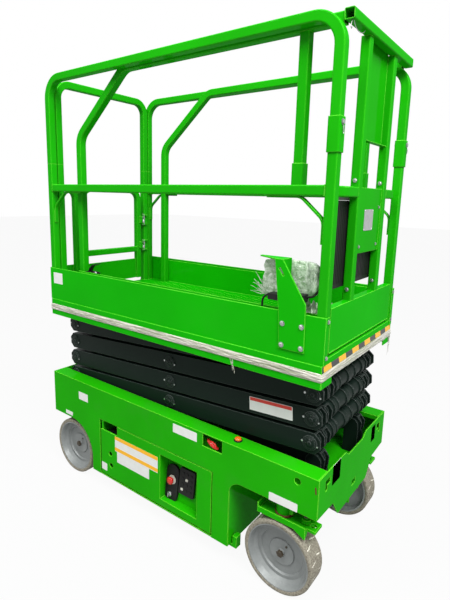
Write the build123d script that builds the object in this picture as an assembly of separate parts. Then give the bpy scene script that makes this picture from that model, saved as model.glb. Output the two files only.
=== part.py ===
from build123d import *
import os
from math import asin, atan2, cos, degrees, hypot, radians, sin

# Compact electric slab scissor lift: steel chassis on four solid-tyred wheels, four-level scissor
# stack, railed platform with a roll-out extension deck.
#
# Frame while modelling: +X is forward (the steered end), +Z up, -Y the right-hand side. Z = 0 is the
# ground and X = 0 the middle of the wheelbase. Each piece is stored after a shift that brings the
# origin to the middle of the overall length. All sizes are in millimetres.

os.makedirs("parts", exist_ok=True)

LEFT, RIGHT = 1, -1                      # +Y side and -Y side of the machine
SIDES = (("left", LEFT), ("right", RIGHT))

# ---------------------------------------------------------------- fits shared by all pieces
running_fit = 0.05                       # radial play of a pin or shaft in its hole
slip_gap = 0.3                           # between pieces that seat on each other without touching
moving_gap = 6.0                         # least air between pieces that pass each other

# ---------------------------------------------------------------- wheels
wheelbase = 1380.0
wheel_centre_y = 320.0
tyre_radius = 161.5
tyre_width = 100.0
tyre_shoulder = 7.0                      # round on the tread's two edges
rim_radius = 143.0                       # seat of the bonded tyre
rim_wall = 7.0
rim_disc_depth = 46.0                    # from the outer edge of the rim in to the disc
rim_disc = 9.0
rim_step_radius = 102.0                  # the disc stands forward outside this radius
rim_step = 8.0
hub_radius = 60.0
hub_rise = 6.0
axle_nut_radius = 17.0
axle_nut_rise = 14.0
stub_radius = 22.0                       # axle stubs that carry the wheels
stub_end = wheel_centre_y - 2.0

# ---------------------------------------------------------------- chassis
chassis_front = 860.0
chassis_rear = -857.0
chassis_half_width = 380.0
chassis_top = 592.0
side_sheet = 5.0
flange_width = 82.0
rear_band_bottom = 345.0                 # lower edge of the side sheet behind the rear wheel
front_band_bottom = 421.0                # lower edge above the front wheel
skirt_bottom = 90.0
rear_leg = (-506.0, -438.0)              # side sheet between rear wheel and tray door
front_leg = (353.0, 445.0)               # side sheet between tray door and front wheel
rear_arch_radius = 184.0
front_arch_radius = 62.0
pan_bottom = 424.0
pan_sheet = 6.0
spine_half_width = 100.0
spine_bottom = 150.0
spine_sheet = 6.0
spine_front = 640.0
shelf_sheet = 6.0
front_centre_bottom = 332.0              # lower edge of the front plate between the wheels
front_centre_half = 165.0
ladder_depth = 73.0

# ---------------------------------------------------------------- scissor stack
levels = 4
arm_length = 1540.0                      # between end pins
level_pitch = 103.0                      # height of one folded level
pivot_x = 768.0                          # fixed pivots, chassis and platform
pivot_z = 571.5
arm_height = 88.0
arm_width = 45.0
arm_wall = 5.0
arm_end = 45.0                           # tube beyond the end pins
arm_chamfer = 25.0
outer_arm_y = 285.0                      # outer face of the outer arms
inner_arm_y = 230.0                      # outer face of the inner arms
arm_pin_radius = 20.0
arm_boss_radius = 30.0
collar_radius = 31.0
collar_rise = 5.0
cross_tube_radius = 37.0
mid_tube_radius = 30.0
cross_tube_wall = 6.0
roller_radius = 35.0
folded_angle = degrees(asin(level_pitch / arm_length))
arm_reach = arm_length * cos(radians(folded_angle))

# ---------------------------------------------------------------- lift cylinder
cylinder_base = (560.0, 210.0)           # x, z of its pin in the chassis
rod_eye_along = 650.0                    # rod pin from the fixed pivot along the lowest inner arm
rod_eye_rise = 50.0                      # and above the arm's centre line
barrel_radius = 48.0
rod_radius = 25.0
cylinder_pin_radius = 18.0
cylinder_eye_radius = 33.0
cylinder_eye_width = 46.0
lug_sheet = 12.0

# ---------------------------------------------------------------- platform
deck_front = 845.0
deck_rear = -825.0
deck_half_width = 395.0
channel_sheet = 5.0                      # side channel of the deck frame
channel_flange = 40.0
toe_lip = 8.0
deck_bottom = 955.0
deck_step = 1045.0                       # top of the frame channel, foot of the toe board
deck_floor = 1066.0                      # walking face
deck_sheet = 4.0
toe_half_width = deck_half_width - channel_sheet
toe_top = 1224.0
toe_rear = deck_rear - 10.0
toe_return = 28.0                        # front returns of the toe boards
toe_sheet = 3.0
wrap_bottom = 983.0
wrap_top = 1017.0
wrap_depth = 6.0
beam_notch_half = 300.0                  # the front beam is shallower between its corners

# ---------------------------------------------------------------- rails
rail_tube = 38.0
rail_wall = 2.5
rail_y = toe_half_width - 25.0           # centre line of the main side rails
rail_front_x = deck_front - 20.0
rail_rear_x = deck_rear + 9.0
rail_top = 2250.0
rail_joint = 1796.0                      # upper loops fold here
mid_rail_top = 1686.0
rail_bend = 75.0
side_rail_bend = 100.0                   # of the upper side loops
sleeve_tube = 46.0
sleeve_top = 1909.0
second_post_y = rail_y - 43.0            # rear posts beside the corner posts
gate_tube = 34.0
gate_hinge_y = second_post_y - 32.0
gate_barrel_radius = 8.0
gate_pin_radius = 4.0
gate_swing_edge = -196.0

# ---------------------------------------------------------------- extension deck
ext_rear = -640.0
ext_floor = 1078.0
ext_half_width = toe_half_width - 49.0
ext_rail_y = ext_half_width - 23.0
ext_rail_top = 2245.0
ext_post_rear_x = -618.0
ext_post_front_x = 673.0
ext_panel_half = rail_y - rail_tube / 2 - moving_gap
ext_panel_front = deck_front - 3.0
ext_panel_bottom = 1080.0
ext_panel_top = 1250.0
frame_front = ext_panel_front            # front faces of the frame's posts
frame_post_y = 142.0
frame_tube = 36.0
crossbar_front = frame_front + 10.0

half_base = wheelbase / 2
stored_shift = -(chassis_front + chassis_rear - ladder_depth) / 2


# ================================================================ small builders
def block(x, y, z):
    """A box between two values on each axis."""
    (x0, x1), (y0, y1), (z0, z1) = x, y, z
    return Pos((x0 + x1) / 2, (y0 + y1) / 2, (z0 + z1) / 2) * Box(abs(x1 - x0), abs(y1 - y0), abs(z1 - z0))


def rod_y(radius, x, z, y0, y1):
    """A cylinder along Y from y0 to y1."""
    return Pos(x, (y0 + y1) / 2, z) * Rot(90, 0, 0) * Cylinder(radius, abs(y1 - y0))


def rod_z(radius, x, y, z0, z1):
    """An upright cylinder from z0 to z1."""
    return Pos(x, y, (z0 + z1) / 2) * Cylinder(radius, z1 - z0)


def rod_x(radius, x0, x1, y, z):
    """A cylinder along X from x0 to x1."""
    return Pos((x0 + x1) / 2, y, z) * Rot(0, 90, 0) * Cylinder(radius, x1 - x0)


def mirrored(shape, side):
    """The left-hand shape, or its mirror image for the right-hand side."""
    return shape if side == LEFT else mirror(shape, about=Plane.XZ)


def side_profile(points, y0, y1):
    """An outline in X and Z, as a plate between y0 and y1."""
    face = Plane.XZ * make_face(Polyline(*points, close=True))
    return Pos(0, max(y0, y1), 0) * extrude(face, amount=abs(y1 - y0))


def tube_section(size, wall):
    """A square tube's section with rounded corners."""
    outer = RectangleRounded(size, size, 0.14 * size)
    return outer - Rectangle(size - 2 * wall, size - 2 * wall)


def post(x, y, z0, z1, size=rail_tube, wall=rail_wall):
    """An upright square tube."""
    return Pos(x, y, z0) * extrude(tube_section(size, wall), amount=z1 - z0)


def bar_x(x0, x1, y, z, size=rail_tube, wall=rail_wall):
    """A square tube along X."""
    plane = Plane(origin=(x0, y, z), x_dir=(0, 1, 0), z_dir=(1, 0, 0))
    return extrude(plane * tube_section(size, wall), amount=x1 - x0)


def bar_y(x, y0, y1, z, size=rail_tube, wall=rail_wall):
    """A square tube along Y."""
    plane = Plane(origin=(x, y0, z), x_dir=(1, 0, 0), z_dir=(0, 1, 0))
    return extrude(plane * tube_section(size, wall), amount=y1 - y0)


def bent_tube(points, radii, size=rail_tube, wall=rail_wall):
    """A square tube along straight runs joined by arcs, all in one plane."""
    path = FilletPolyline(*points, radius=radii)
    start = Vector(*points[0])
    run = Vector(*points[1]) - start
    across = Vector(0, 1, 0) if abs(run.X) > abs(run.Y) else Vector(1, 0, 0)
    plane = Plane(origin=start, x_dir=across, z_dir=run)
    return sweep(plane * tube_section(size, wall), path=path)


def save(name, *solids):
    """Write one node, moved so that the origin is at the middle of the overall length."""
    group = Compound(children=[Pos(stored_shift, 0, 0) * s for s in solids])
    export_step(group, f"parts/{name}.step")


# ================================================================ wheels
def wheel_profile(table):
    """A solid of revolution about the wheel axis from (radius, distance outward) points."""
    face = Plane.XY * make_face(Polyline(*table, close=True))
    return revolve(face, Axis.Y)


def tyre():
    """Solid non-marking tyre, centred on the wheel."""
    ring = Rot(90, 0, 0) * Cylinder(tyre_radius, tyre_width)
    ring = fillet(ring.edges().filter_by(GeomType.CIRCLE), tyre_shoulder)
    return ring - Rot(90, 0, 0) * Cylinder(rim_radius + running_fit, tyre_width)


def rim():
    """Dished steel rim with its hub; +Y is outward."""
    half = tyre_width / 2 - 2
    disc = half - rim_disc_depth
    inner = rim_radius - rim_wall
    bore = stub_radius + running_fit
    return wheel_profile([
        (bore, disc - rim_disc - 12), (hub_radius, disc - rim_disc - 12), (hub_radius, disc - rim_disc),
        (inner, disc - rim_disc), (inner, -half), (rim_radius, -half), (rim_radius, half),
        (inner + 2, half), (inner - 8, disc + rim_step + 14), (inner - 20, disc + rim_step),
        (rim_step_radius, disc + rim_step), (rim_step_radius - 5, disc),
        (hub_radius, disc), (hub_radius - 3, disc + hub_rise), (axle_nut_radius, disc + hub_rise),
        (axle_nut_radius - 2, disc + axle_nut_rise), (0, disc + axle_nut_rise),
        (0, stub_end - wheel_centre_y + 2), (bore, stub_end - wheel_centre_y + 2),
    ])


wheel_sites = (  # end, x of the axle
    ("rear", -half_base),
    ("front", half_base),
)
for end, axle_x in wheel_sites:
    for hand, side in SIDES:
        place = Pos(axle_x, side * wheel_centre_y, tyre_radius)
        save(f"tyre_{end}_{hand}", place * tyre())
        save(f"rim_{end}_{hand}", place * mirrored(rim(), side))


# ================================================================ chassis
# Side sheet: a band with the top flange, and two legs that hold the shelf beside the tray door.
band_inner = chassis_half_width - side_sheet
door_top = front_band_bottom - 3


def side_sheet_solid():
    """Left side sheet with its folded top flange."""
    axle = -half_base
    arch_top = tyre_radius + rear_arch_radius
    arch_front = axle + rear_arch_radius
    top_of_leg = front_band_bottom - front_arch_radius
    outline = Wire([
        Edge.make_line((chassis_rear, 0, chassis_top), (chassis_rear, 0, arch_top)),
        Edge.make_line((chassis_rear, 0, arch_top), (axle, 0, arch_top)),
        Edge.make_three_point_arc(
            (axle, 0, arch_top),
            (axle + rear_arch_radius * sin(radians(45)), 0, tyre_radius + rear_arch_radius * sin(radians(45))),
            (arch_front, 0, tyre_radius)),
        Edge.make_line((arch_front, 0, tyre_radius), (arch_front, 0, skirt_bottom)),
        Edge.make_line((arch_front, 0, skirt_bottom), (rear_leg[1], 0, skirt_bottom)),
        Edge.make_line((rear_leg[1], 0, skirt_bottom), (rear_leg[1], 0, front_band_bottom)),
        Edge.make_line((rear_leg[1], 0, front_band_bottom), (front_leg[0], 0, front_band_bottom)),
        Edge.make_line((front_leg[0], 0, front_band_bottom), (front_leg[0], 0, skirt_bottom)),
        Edge.make_line((front_leg[0], 0, skirt_bottom), (front_leg[1], 0, skirt_bottom)),
        Edge.make_line((front_leg[1], 0, skirt_bottom), (front_leg[1], 0, top_of_leg)),
        Edge.make_three_point_arc(
            (front_leg[1], 0, top_of_leg),
            (front_leg[1] + front_arch_radius * (1 - cos(radians(45))), 0,
             top_of_leg + front_arch_radius * sin(radians(45))),
            (front_leg[1] + front_arch_radius, 0, front_band_bottom)),
        Edge.make_line((front_leg[1] + front_arch_radius, 0, front_band_bottom), (chassis_front, 0, front_band_bottom)),
        Edge.make_line((chassis_front, 0, front_band_bottom), (chassis_front, 0, chassis_top)),
        Edge.make_line((chassis_front, 0, chassis_top), (chassis_rear, 0, chassis_top)),
    ])
    sheet = extrude(Face(outline), amount=side_sheet, dir=(0, -1, 0))
    sheet = Pos(0, chassis_half_width, 0) * sheet
    between_ends = (chassis_rear + side_sheet, chassis_front - side_sheet)
    lip_y = chassis_half_width - flange_width
    flange = block(between_ends, (lip_y, chassis_half_width), (chassis_top - side_sheet, chassis_top))
    lip = block(between_ends, (lip_y, lip_y + side_sheet), (chassis_top - 22, chassis_top))
    lifting_hole = rod_y(14, 770, 553, chassis_half_width - 2 * side_sheet, chassis_half_width + side_sheet)
    return sheet + flange + lip - lifting_hole


# The right side has an opening for the emergency-lowering pull.
knob_window = ((292.0, 402.0), (528.0, chassis_top - side_sheet))
left_sheet = side_sheet_solid()
right_sheet = mirror(left_sheet, about=Plane.XZ)
right_sheet = right_sheet - block(knob_window[0], (-chassis_half_width - 1, -band_inner + 1), knob_window[1])
save("chassis_side_sheets", left_sheet, right_sheet)

# Front plate: full height between the wheels, a shallow dip in its top edge, slots for tie-down.
front_points = [
    (-band_inner, front_band_bottom), (-front_centre_half - 60, front_band_bottom - 8),
    (-front_centre_half, front_centre_bottom), (front_centre_half, front_centre_bottom),
    (front_centre_half + 60, front_band_bottom - 8), (band_inner, front_band_bottom),
    (band_inner, chassis_top), (120, chassis_top), (85, chassis_top - 24),
    (-85, chassis_top - 24), (-120, chassis_top), (-band_inner, chassis_top),
]
front_face = Plane.YZ * make_face(Polyline(*front_points, close=True))
front_plate = Pos(chassis_front - side_sheet, 0, 0) * extrude(front_face, amount=side_sheet)
through_front = (chassis_front - 20, chassis_front + 20)
for slot_y, slot_z in ((-295, 547), (295, 547), (0, 396)):
    front_plate -= block(through_front, (slot_y - 22, slot_y + 22), (slot_z - 13, slot_z + 13))
for side in (LEFT, RIGHT):
    front_plate -= block(through_front, sorted((side * 299, side * 317)), (512, 535))
rear_plate = block((chassis_rear, chassis_rear + side_sheet), (-band_inner, band_inner),
                   (rear_band_bottom, chassis_top))
save("chassis_end_plates", front_plate, rear_plate)

# Pan under the scissor, spine trough between the trays, shelves that carry the trays.
pan = block((chassis_rear + side_sheet, chassis_front - side_sheet), (-band_inner, band_inner),
            (pan_bottom, pan_bottom + pan_sheet))
cylinder_slot = (255.0, 625.0)
cylinder_slot_half = barrel_radius + 14
pan -= block(cylinder_slot, (-cylinder_slot_half, cylinder_slot_half), (pan_bottom - 1, pan_bottom + pan_sheet + 1))
spine = block((rear_leg[0], spine_front), (-spine_half_width, spine_half_width), (spine_bottom, pan_bottom))
spine -= block((rear_leg[0] + spine_sheet, spine_front - spine_sheet),
               (-spine_half_width + spine_sheet, spine_half_width - spine_sheet),
               (spine_bottom + spine_sheet, pan_bottom + 1))
save("chassis_pan", pan)
trough = spine
for side in (LEFT, RIGHT):
    shelf = block((rear_leg[0] + side_sheet, front_leg[1] - side_sheet),
                  sorted((side * (spine_half_width - spine_sheet), side * band_inner)),
                  (skirt_bottom, skirt_bottom + shelf_sheet))
    shelf += block((rear_leg[1] + 1, front_leg[0] - 1),
                   sorted((side * (band_inner - 1), side * (chassis_half_width - 1))),
                   (skirt_bottom, skirt_bottom + shelf_sheet))
    web = block((rear_leg[0] + side_sheet, front_leg[1] - side_sheet),
                sorted((side * (spine_half_width - spine_sheet), side * spine_half_width)),
                (skirt_bottom, spine_bottom))
    trough = trough + shelf + web
hinge_x = rear_leg[1] + 17.0             # upright pivots of the swing-out trays
hinge_y = chassis_half_width - 9.0
hinge_pin_radius = 6.0
for side in (LEFT, RIGHT):
    trough -= rod_z(hinge_pin_radius + running_fit, hinge_x, side * hinge_y,
                    skirt_bottom - 1, skirt_bottom + shelf_sheet + 1)
save("spine_and_shelves", trough)

# Legs' inner returns close the ends of the tray bays; the top hinge brackets hang from the pan.
bay_ends = []
for side in (LEFT, RIGHT):
    for x0, x1 in ((rear_leg[0], rear_leg[0] + side_sheet), (front_leg[1] - side_sheet, front_leg[1])):
        bay_ends.append(block((x0, x1), sorted((side * (spine_half_width + slip_gap), side * (band_inner - slip_gap))),
                              (skirt_bottom, pan_bottom - slip_gap)))
    bracket = block((rear_leg[1] - 5, hinge_x + 20), sorted((side * 330, side * band_inner)),
                    (front_band_bottom - 8, front_band_bottom - 2))
    bracket += block((rear_leg[1] - 5, rear_leg[1]), sorted((side * 330, side * band_inner)),
                     (front_band_bottom - 8, pan_bottom))
    bracket -= rod_z(hinge_pin_radius + running_fit, hinge_x, side * hinge_y, front_band_bottom - 9, front_band_bottom)
    bay_ends.append(bracket)
save("tray_bay_ends", *bay_ends)

# Roller tracks for the lowest outer arms: inverted channels on the pan.
track_top = pivot_z - roller_radius - slip_gap
track = (180.0, 234.0)
track_span = (-pivot_x - 70, -20.0)
tracks = []
for side in (LEFT, RIGHT):
    rail = block(track_span, sorted((side * track[0], side * track[1])), (pan_bottom + pan_sheet, track_top))
    rail -= block((track_span[0] - 1, track_span[1] + 1), sorted((side * (track[0] + 6), side * (track[1] - 6))),
                  (pan_bottom + pan_sheet - 1, track_top - 8))
    tracks.append(rail)
save("roller_tracks", *tracks)

# Ears with the fixed pins of the lowest inner arms.
ears = []
ear_radius = 35.0
ear_rows = (  # inner face, outer face of each ear
    (inner_arm_y - arm_width - 16, inner_arm_y - arm_width - moving_gap),
    (inner_arm_y + 3, inner_arm_y + 13),
)
for side in (LEFT, RIGHT):
    group = rod_y(arm_pin_radius, pivot_x, pivot_z, side * ear_rows[0][0], side * ear_rows[1][1])
    for y0, y1 in ear_rows:
        group += rod_y(ear_radius, pivot_x, pivot_z, side * y0, side * y1)
        group += block((pivot_x - ear_radius, pivot_x + ear_radius), sorted((side * y0, side * y1)),
                       (pan_bottom + pan_sheet, pivot_z))
    ears.append(group)
save("scissor_ears", *ears)

# Lugs for the lift cylinder in the spine trough.
lug_y = cylinder_eye_width / 2 + 2
base_x, base_z = cylinder_base
cylinder_lugs = rod_y(cylinder_pin_radius, base_x, base_z, -lug_y - lug_sheet, lug_y + lug_sheet)
for side in (LEFT, RIGHT):
    y_pair = sorted((side * lug_y, side * (lug_y + lug_sheet)))
    cylinder_lugs += rod_y(cylinder_eye_radius, base_x, base_z, *y_pair)
    cylinder_lugs += block((base_x - cylinder_eye_radius, base_x + cylinder_eye_radius), y_pair,
                           (spine_bottom + spine_sheet, base_z))
save("cylinder_lugs", cylinder_lugs)

# ---- front axle: beam under the pan and the two kingpin housings
kingpin_radius = 22.0
kingpin_housing_radius = 34.0
knuckle_plate = (333.0, 345.0)
housing_bottom = knuckle_plate[1] + 2
gusset_bottom = knuckle_plate[1] + 30    # over the tie rod
front_axle = block((half_base - 45, half_base + 45), (-345, 345), (pan_bottom - 22, pan_bottom))
for side in (LEFT, RIGHT):
    front_axle += rod_z(kingpin_housing_radius, half_base, side * wheel_centre_y, housing_bottom, pan_bottom)
    front_axle += block((half_base + 40, half_base + 52), sorted((side * 270, side * 352)),
                        (gusset_bottom, pan_bottom))
for side in (LEFT, RIGHT):
    front_axle -= rod_z(kingpin_radius + running_fit, half_base, side * wheel_centre_y,
                        housing_bottom - 1, pan_bottom - 6)
save("front_axle", front_axle)

# ---- rear axle: beam on two hangers, stubs for the wheels
rear_hanger_y = 205.0
rear_axle = block((-half_base - 40, -half_base + 40), (-240, 240), (tyre_radius - 34, tyre_radius + 34))
for side in (LEFT, RIGHT):
    rear_axle += rod_y(stub_radius, -half_base, tyre_radius, side * 235, side * stub_end)
    rear_axle += rod_y(58, -half_base, tyre_radius, side * 236, side * 262)
    rear_axle += block((-half_base - 60, -half_base + 60),
                       sorted((side * (rear_hanger_y - 12), side * rear_hanger_y)), (tyre_radius, pan_bottom))
save("rear_axle", rear_axle)

# ---- entry ladder on the rear plate
ladder_half = 170.0
ladder = []
for side in (LEFT, RIGHT):
    ladder.append(block((chassis_rear - ladder_depth, chassis_rear), sorted((side * ladder_half, side * (ladder_half + 8))),
                        (235, chassis_top - 12)))
for step_z in (262.0, 430.0):
    ladder.append(block((chassis_rear - ladder_depth, chassis_rear - ladder_depth + 50), (-ladder_half, ladder_half),
                        (step_z, step_z + 26)))
ladder_solid = ladder[0]
for piece in ladder[1:]:
    ladder_solid += piece
save("entry_ladder", ladder_solid)

# ---- pothole guards, folded up under the shelves
guards = []
for side in (LEFT, RIGHT):
    bar = block((rear_leg[0] + 30, front_leg[1] + 30), sorted((side * 318, side * 352)), (skirt_bottom - 14, skirt_bottom))
    foot = block((front_leg[1] + 8, front_leg[1] + 30), sorted((side * 318, side * 352)),
                 (skirt_bottom - 4, skirt_bottom + 42))
    guards.append(bar + foot)
save("pothole_guards", *guards)

# ---- small things on the right-hand side
beacon = rod_z(19, 454, -334, chassis_top, chassis_top + 6) + rod_z(16, 454, -334, chassis_top, chassis_top + 20)
save("beacon_lamp", beacon)
knob_x = sum(knob_window[0]) / 2
pull = rod_y(7, knob_x, 560, -band_inner + 4, -band_inner + 62) + rod_y(15, knob_x, 560, -band_inner - 6, -band_inner + 4)
pull += block((knob_x - 40, knob_x + 40), (-band_inner + 58, -band_inner + 64), (pan_bottom + pan_sheet, 580))
save("lowering_pull", pull)

# ================================================================ swing-out trays
tray_x = (rear_leg[1] + 13, 295.0)
tray_y = (118.0, chassis_half_width - 4.0)
tray_z = (skirt_bottom + shelf_sheet + moving_gap, front_band_bottom - 8 - moving_gap)
tray_wall = 3.0
door_x = (rear_leg[1] + 10, front_leg[0] - moving_gap)
door_z = (skirt_bottom + 14, door_top)
panel_recess = ((24.0, 262.0), (139.0, 382.0))
recess_depth = 70.0
key_holes = ((-352.0, 240.0), (-347.0, 172.0))   # x, z in the right door
key_hole_radius = 14.0


def tray(side):
    """Open-topped tray with its door panel and hinge post, on the left; the caller mirrors it."""
    box = block(tray_x, tray_y, tray_z)
    box -= block((tray_x[0] + tray_wall, tray_x[1] - tray_wall), (tray_y[0] + tray_wall, tray_y[1] - tray_wall),
                 (tray_z[0] + tray_wall, tray_z[1] + 1))
    door = block(door_x, (tray_y[1], chassis_half_width), door_z)
    box += door
    corner_hole = block((door_x[0] - 1, -294), (tray_y[1] - 10, chassis_half_width + 1), (366, door_z[1] + 1))
    box -= corner_hole
    box += rod_z(hinge_pin_radius, hinge_x, hinge_y, skirt_bottom, front_band_bottom - 2)
    if side == RIGHT:
        for x, z in key_holes:
            box -= rod_y(key_hole_radius, x, z, tray_y[1] - 5, chassis_half_width + 1)
        (x0, x1), (z0, z1) = panel_recess
        deep = chassis_half_width - recess_depth
        box += block((x0 - 3, x1 + 3), (deep - 3, tray_y[1]), (z0 - 3, z1 + 3))
        box -= block((x0, x1), (deep, chassis_half_width + 1), (z0, z1))
    return box


save("tray_left", tray(LEFT))
save("tray_right", mirrored(tray(RIGHT), RIGHT))
battery = block((tray_x[0] + 25, tray_x[1] - 25), (tray_y[0] + 12, tray_y[1] - 22), (tray_z[0] + tray_wall, tray_z[0] + 260))
save("battery_pack", battery)
power_unit = block((tray_x[0] + 30, panel_recess[0][0] - 30), (-tray_y[1] + 30, -tray_y[0] - 12),
                   (tray_z[0] + tray_wall, tray_z[0] + 250))
save("power_unit", power_unit)

# Lower controls: an inclined board in the recess with its switches.
deep_y = -(chassis_half_width - recess_depth)
board = block((panel_recess[0][0] + 10, panel_recess[0][1] - 10), (deep_y - 14, deep_y), (210, 372))
board += block((176, 246), (deep_y - 26, deep_y - 14), (252, 348))
board += rod_y(10, 52, 338, deep_y - 22, deep_y - 14)
save("lower_controls", board)
save("stop_button", rod_y(13, 88, 300, deep_y - 44, deep_y - 30) + rod_y(9, 88, 300, deep_y - 30, deep_y - 14))

# ================================================================ steering
steer_arm = 100.0
tie_pin_radius = 9.0
tie_rod_z = (knuckle_plate[1] + 4, knuckle_plate[1] + 22)
yoke = (246.0, 258.0)                    # upright plate inboard of the tyre


plate_rear, plate_front = half_base - 105.0, half_base + 118.0
plate_rim = 9.0                          # ribs on the plate
plate_skirt = 4.0                        # lip under its outer edge
beak_drop = 29.0                         # the lip's deeper front corner
fold = 5.0


def knuckle():
    """Left knuckle: plate over the tyre, kingpin, yoke plate, drive motor and axle stub."""
    y = wheel_centre_y
    low, high = knuckle_plate
    edge = y + 46
    body = block((plate_rear, plate_front), (yoke[0], edge), knuckle_plate)
    body += block((plate_rear, plate_front), (edge - fold, edge), (low, high + plate_rim))
    body += block((plate_rear, half_base - 45), (y - 25, y - 20), (low, high + plate_rim))
    body += block((plate_rear, plate_rear + fold), (y - 25, edge), (low, high + 3 * plate_rim))
    skirt = [(plate_rear, low), (plate_rear, low - plate_skirt), (plate_front - 52, low - plate_skirt),
             (plate_front - fold, low - beak_drop), (plate_front, low - beak_drop), (plate_front, low)]
    body += side_profile(skirt, edge - fold, edge)
    body += block((plate_front - fold, plate_front), (edge - 38, edge), (low - plate_skirt, low))
    beak = make_face(Polyline((edge, low - beak_drop), (edge, low), (edge - 38, low), close=True))
    body += Pos(plate_front - fold, 0, 0) * extrude(Plane.YZ * beak, amount=fold)
    lug = block((plate_front - 20, plate_front + 36), (y - 34, y + 28), (low, high))
    lug -= rod_z(13, plate_front + 14, y - 3, low - 1, high + 1)
    body += lug
    body += rod_z(kingpin_radius, half_base, y, high - 2, pan_bottom - 10)
    body += rod_z(tie_pin_radius, half_base + steer_arm, y, high - 2, tie_rod_z[1] + 6)
    body += block((half_base - 70, half_base + 70), yoke, (tyre_radius - 60, high - 1))
    body += block((half_base + 60, plate_front - 8), yoke, (tyre_radius + 40, high - 1))
    body += rod_y(62, half_base, tyre_radius, yoke[0] - 48, yoke[0])
    body += rod_y(58, half_base, tyre_radius, yoke[1], yoke[1] + 10)
    body += rod_y(stub_radius, half_base, tyre_radius, yoke[1], stub_end)
    return body


for hand, side in SIDES:
    save(f"knuckle_{hand}", mirrored(knuckle(), side))

tie_x = half_base + steer_arm
tie_rod = Pos(tie_x, 0, sum(tie_rod_z) / 2) * Rot(90, 0, 0) * Cylinder(8, 2 * wheel_centre_y - 30)
for side in (LEFT, RIGHT):
    tie_rod += rod_z(19, tie_x, side * wheel_centre_y, *tie_rod_z)
for side in (LEFT, RIGHT):
    tie_rod -= rod_z(tie_pin_radius + running_fit, tie_x, side * wheel_centre_y, tie_rod_z[0] - 1, tie_rod_z[1] + 1)
save("tie_rod", tie_rod)

# ================================================================ scissor arms
# Each arm is drawn level, from its lower end pin at the origin along +X, then tilted and placed.


def level_z(k):
    """Height of the end pins on top of folded level k; level 0 is the chassis."""
    return pivot_z + k * level_pitch


def arm_tube(y0, y1):
    """One arm: a rectangular tube with chamfered ends and bushed bosses at the three pins."""
    h = arm_height / 2
    a, b, c = -arm_end, arm_length + arm_end, arm_chamfer
    outline = [(a, h - c), (a, c - h), (a + c, -h), (b - c, -h), (b, c - h), (b, h - c), (b - c, h), (a + c, h)]
    tube = side_profile(outline, y0, y1)
    low, high = min(y0, y1) + arm_wall, max(y0, y1) - arm_wall
    tube -= block((a - 1, b + 1), (low, high), (arm_wall - h, h - arm_wall))
    for along in (0, arm_length / 2, arm_length):
        tube += rod_y(arm_boss_radius, along, 0, y0, y1)
    return tube


def outer_arms(k):
    """The outer pair of level k, from the rear pin up to the front pin, with the pins it carries."""
    arms = []
    for side in (LEFT, RIGHT):
        y0, y1 = side * (outer_arm_y - arm_width), side * outer_arm_y
        pin_end = side * (inner_arm_y - arm_width + 1)
        arm = arm_tube(y0, y1)
        pins = (0, arm_length / 2, arm_length) if k < levels else (0, arm_length / 2)
        for along in pins:
            arm += rod_y(arm_pin_radius, along, 0, pin_end, y1)
            arm += rod_y(collar_radius, along, 0, y1, y1 + side * collar_rise)
        if k == levels:
            arm -= rod_y(arm_pin_radius + running_fit, arm_length, 0, y0 - side, y1 + side)
        if k == 1:
            arm += rod_y(roller_radius, 0, 0, side * (inner_arm_y - arm_width), side * (inner_arm_y + 4))
        arms.append(Pos(-pivot_x + (pivot_x * 2 - arm_reach), 0, level_z(k - 1)) * Rot(0, -folded_angle, 0) * arm)
    return arms


def inner_arms(k):
    """The inner pair of level k, from the front pin up to the rear pin, joined by cross tubes."""
    face = inner_arm_y - arm_width
    pair = arm_tube(face, inner_arm_y) + arm_tube(-face, -inner_arm_y)
    tubes = [(arm_length / 2, mid_tube_radius), (arm_length, cross_tube_radius)]
    if k > 1:
        tubes.insert(0, (0, cross_tube_radius))
    for along, radius in tubes:
        pair += rod_y(radius, along, 0, -face, face) - rod_y(radius - cross_tube_wall, along, 0, -face - 1, face + 1)
    if k == 1:
        for side in (LEFT, RIGHT):
            y_pair = sorted((side * rod_lug_y, side * (rod_lug_y + lug_sheet)))
            e, r, m, t = rod_eye_along, rod_eye_rise, arm_length / 2, mid_tube_radius - 4
            lug = side_profile([(e - 4, r + t), (m + 8, t), (m + 8, -t), (m - 28, -t), (e - 10, r - t + 2)], *y_pair)
            lug += rod_y(t, e, r, *y_pair)
            lug -= rod_y(mid_tube_radius - cross_tube_wall, arm_length / 2, 0, -face, face)
            pair += lug
    bore = arm_pin_radius + running_fit
    for side in (LEFT, RIGHT):
        for along in (0, arm_length / 2, arm_length):
            if k == levels and along == arm_length:
                continue
            pair -= rod_y(bore, along, 0, side * (face - 2), side * (inner_arm_y + 1))
    if k == levels:
        for side in (LEFT, RIGHT):
            pair += rod_y(arm_pin_radius, arm_length, 0, side * inner_arm_y, side * (outer_arm_y - 3))
            pair += rod_y(roller_radius, arm_length, 0, side * (outer_arm_y - arm_width), side * (outer_arm_y - 3))
    # drawn toward +X, so turned about Z to run to the rear
    return Pos(pivot_x, 0, level_z(k - 1)) * Rot(0, folded_angle, 0) * Rot(0, 0, 180) * pair


rod_lug_y = cylinder_eye_width / 2 + moving_gap
for k in range(1, levels + 1):
    save(f"outer_arms_{k}", *outer_arms(k))
    save(f"inner_arms_{k}", inner_arms(k))

# ================================================================ lift cylinder
tilt = radians(folded_angle)
eye_x = pivot_x - rod_eye_along * cos(tilt) + rod_eye_rise * sin(tilt)
eye_z = pivot_z + rod_eye_along * sin(tilt) + rod_eye_rise * cos(tilt)
cylinder_length = hypot(eye_x - base_x, eye_z - base_z)
cylinder_tilt = degrees(atan2(eye_z - base_z, eye_x - base_x))
barrel_end = cylinder_length - 72
rod_inner_end = cylinder_length - 450
at_base = Pos(base_x, 0, base_z) * Rot(0, -cylinder_tilt, 0)

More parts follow.
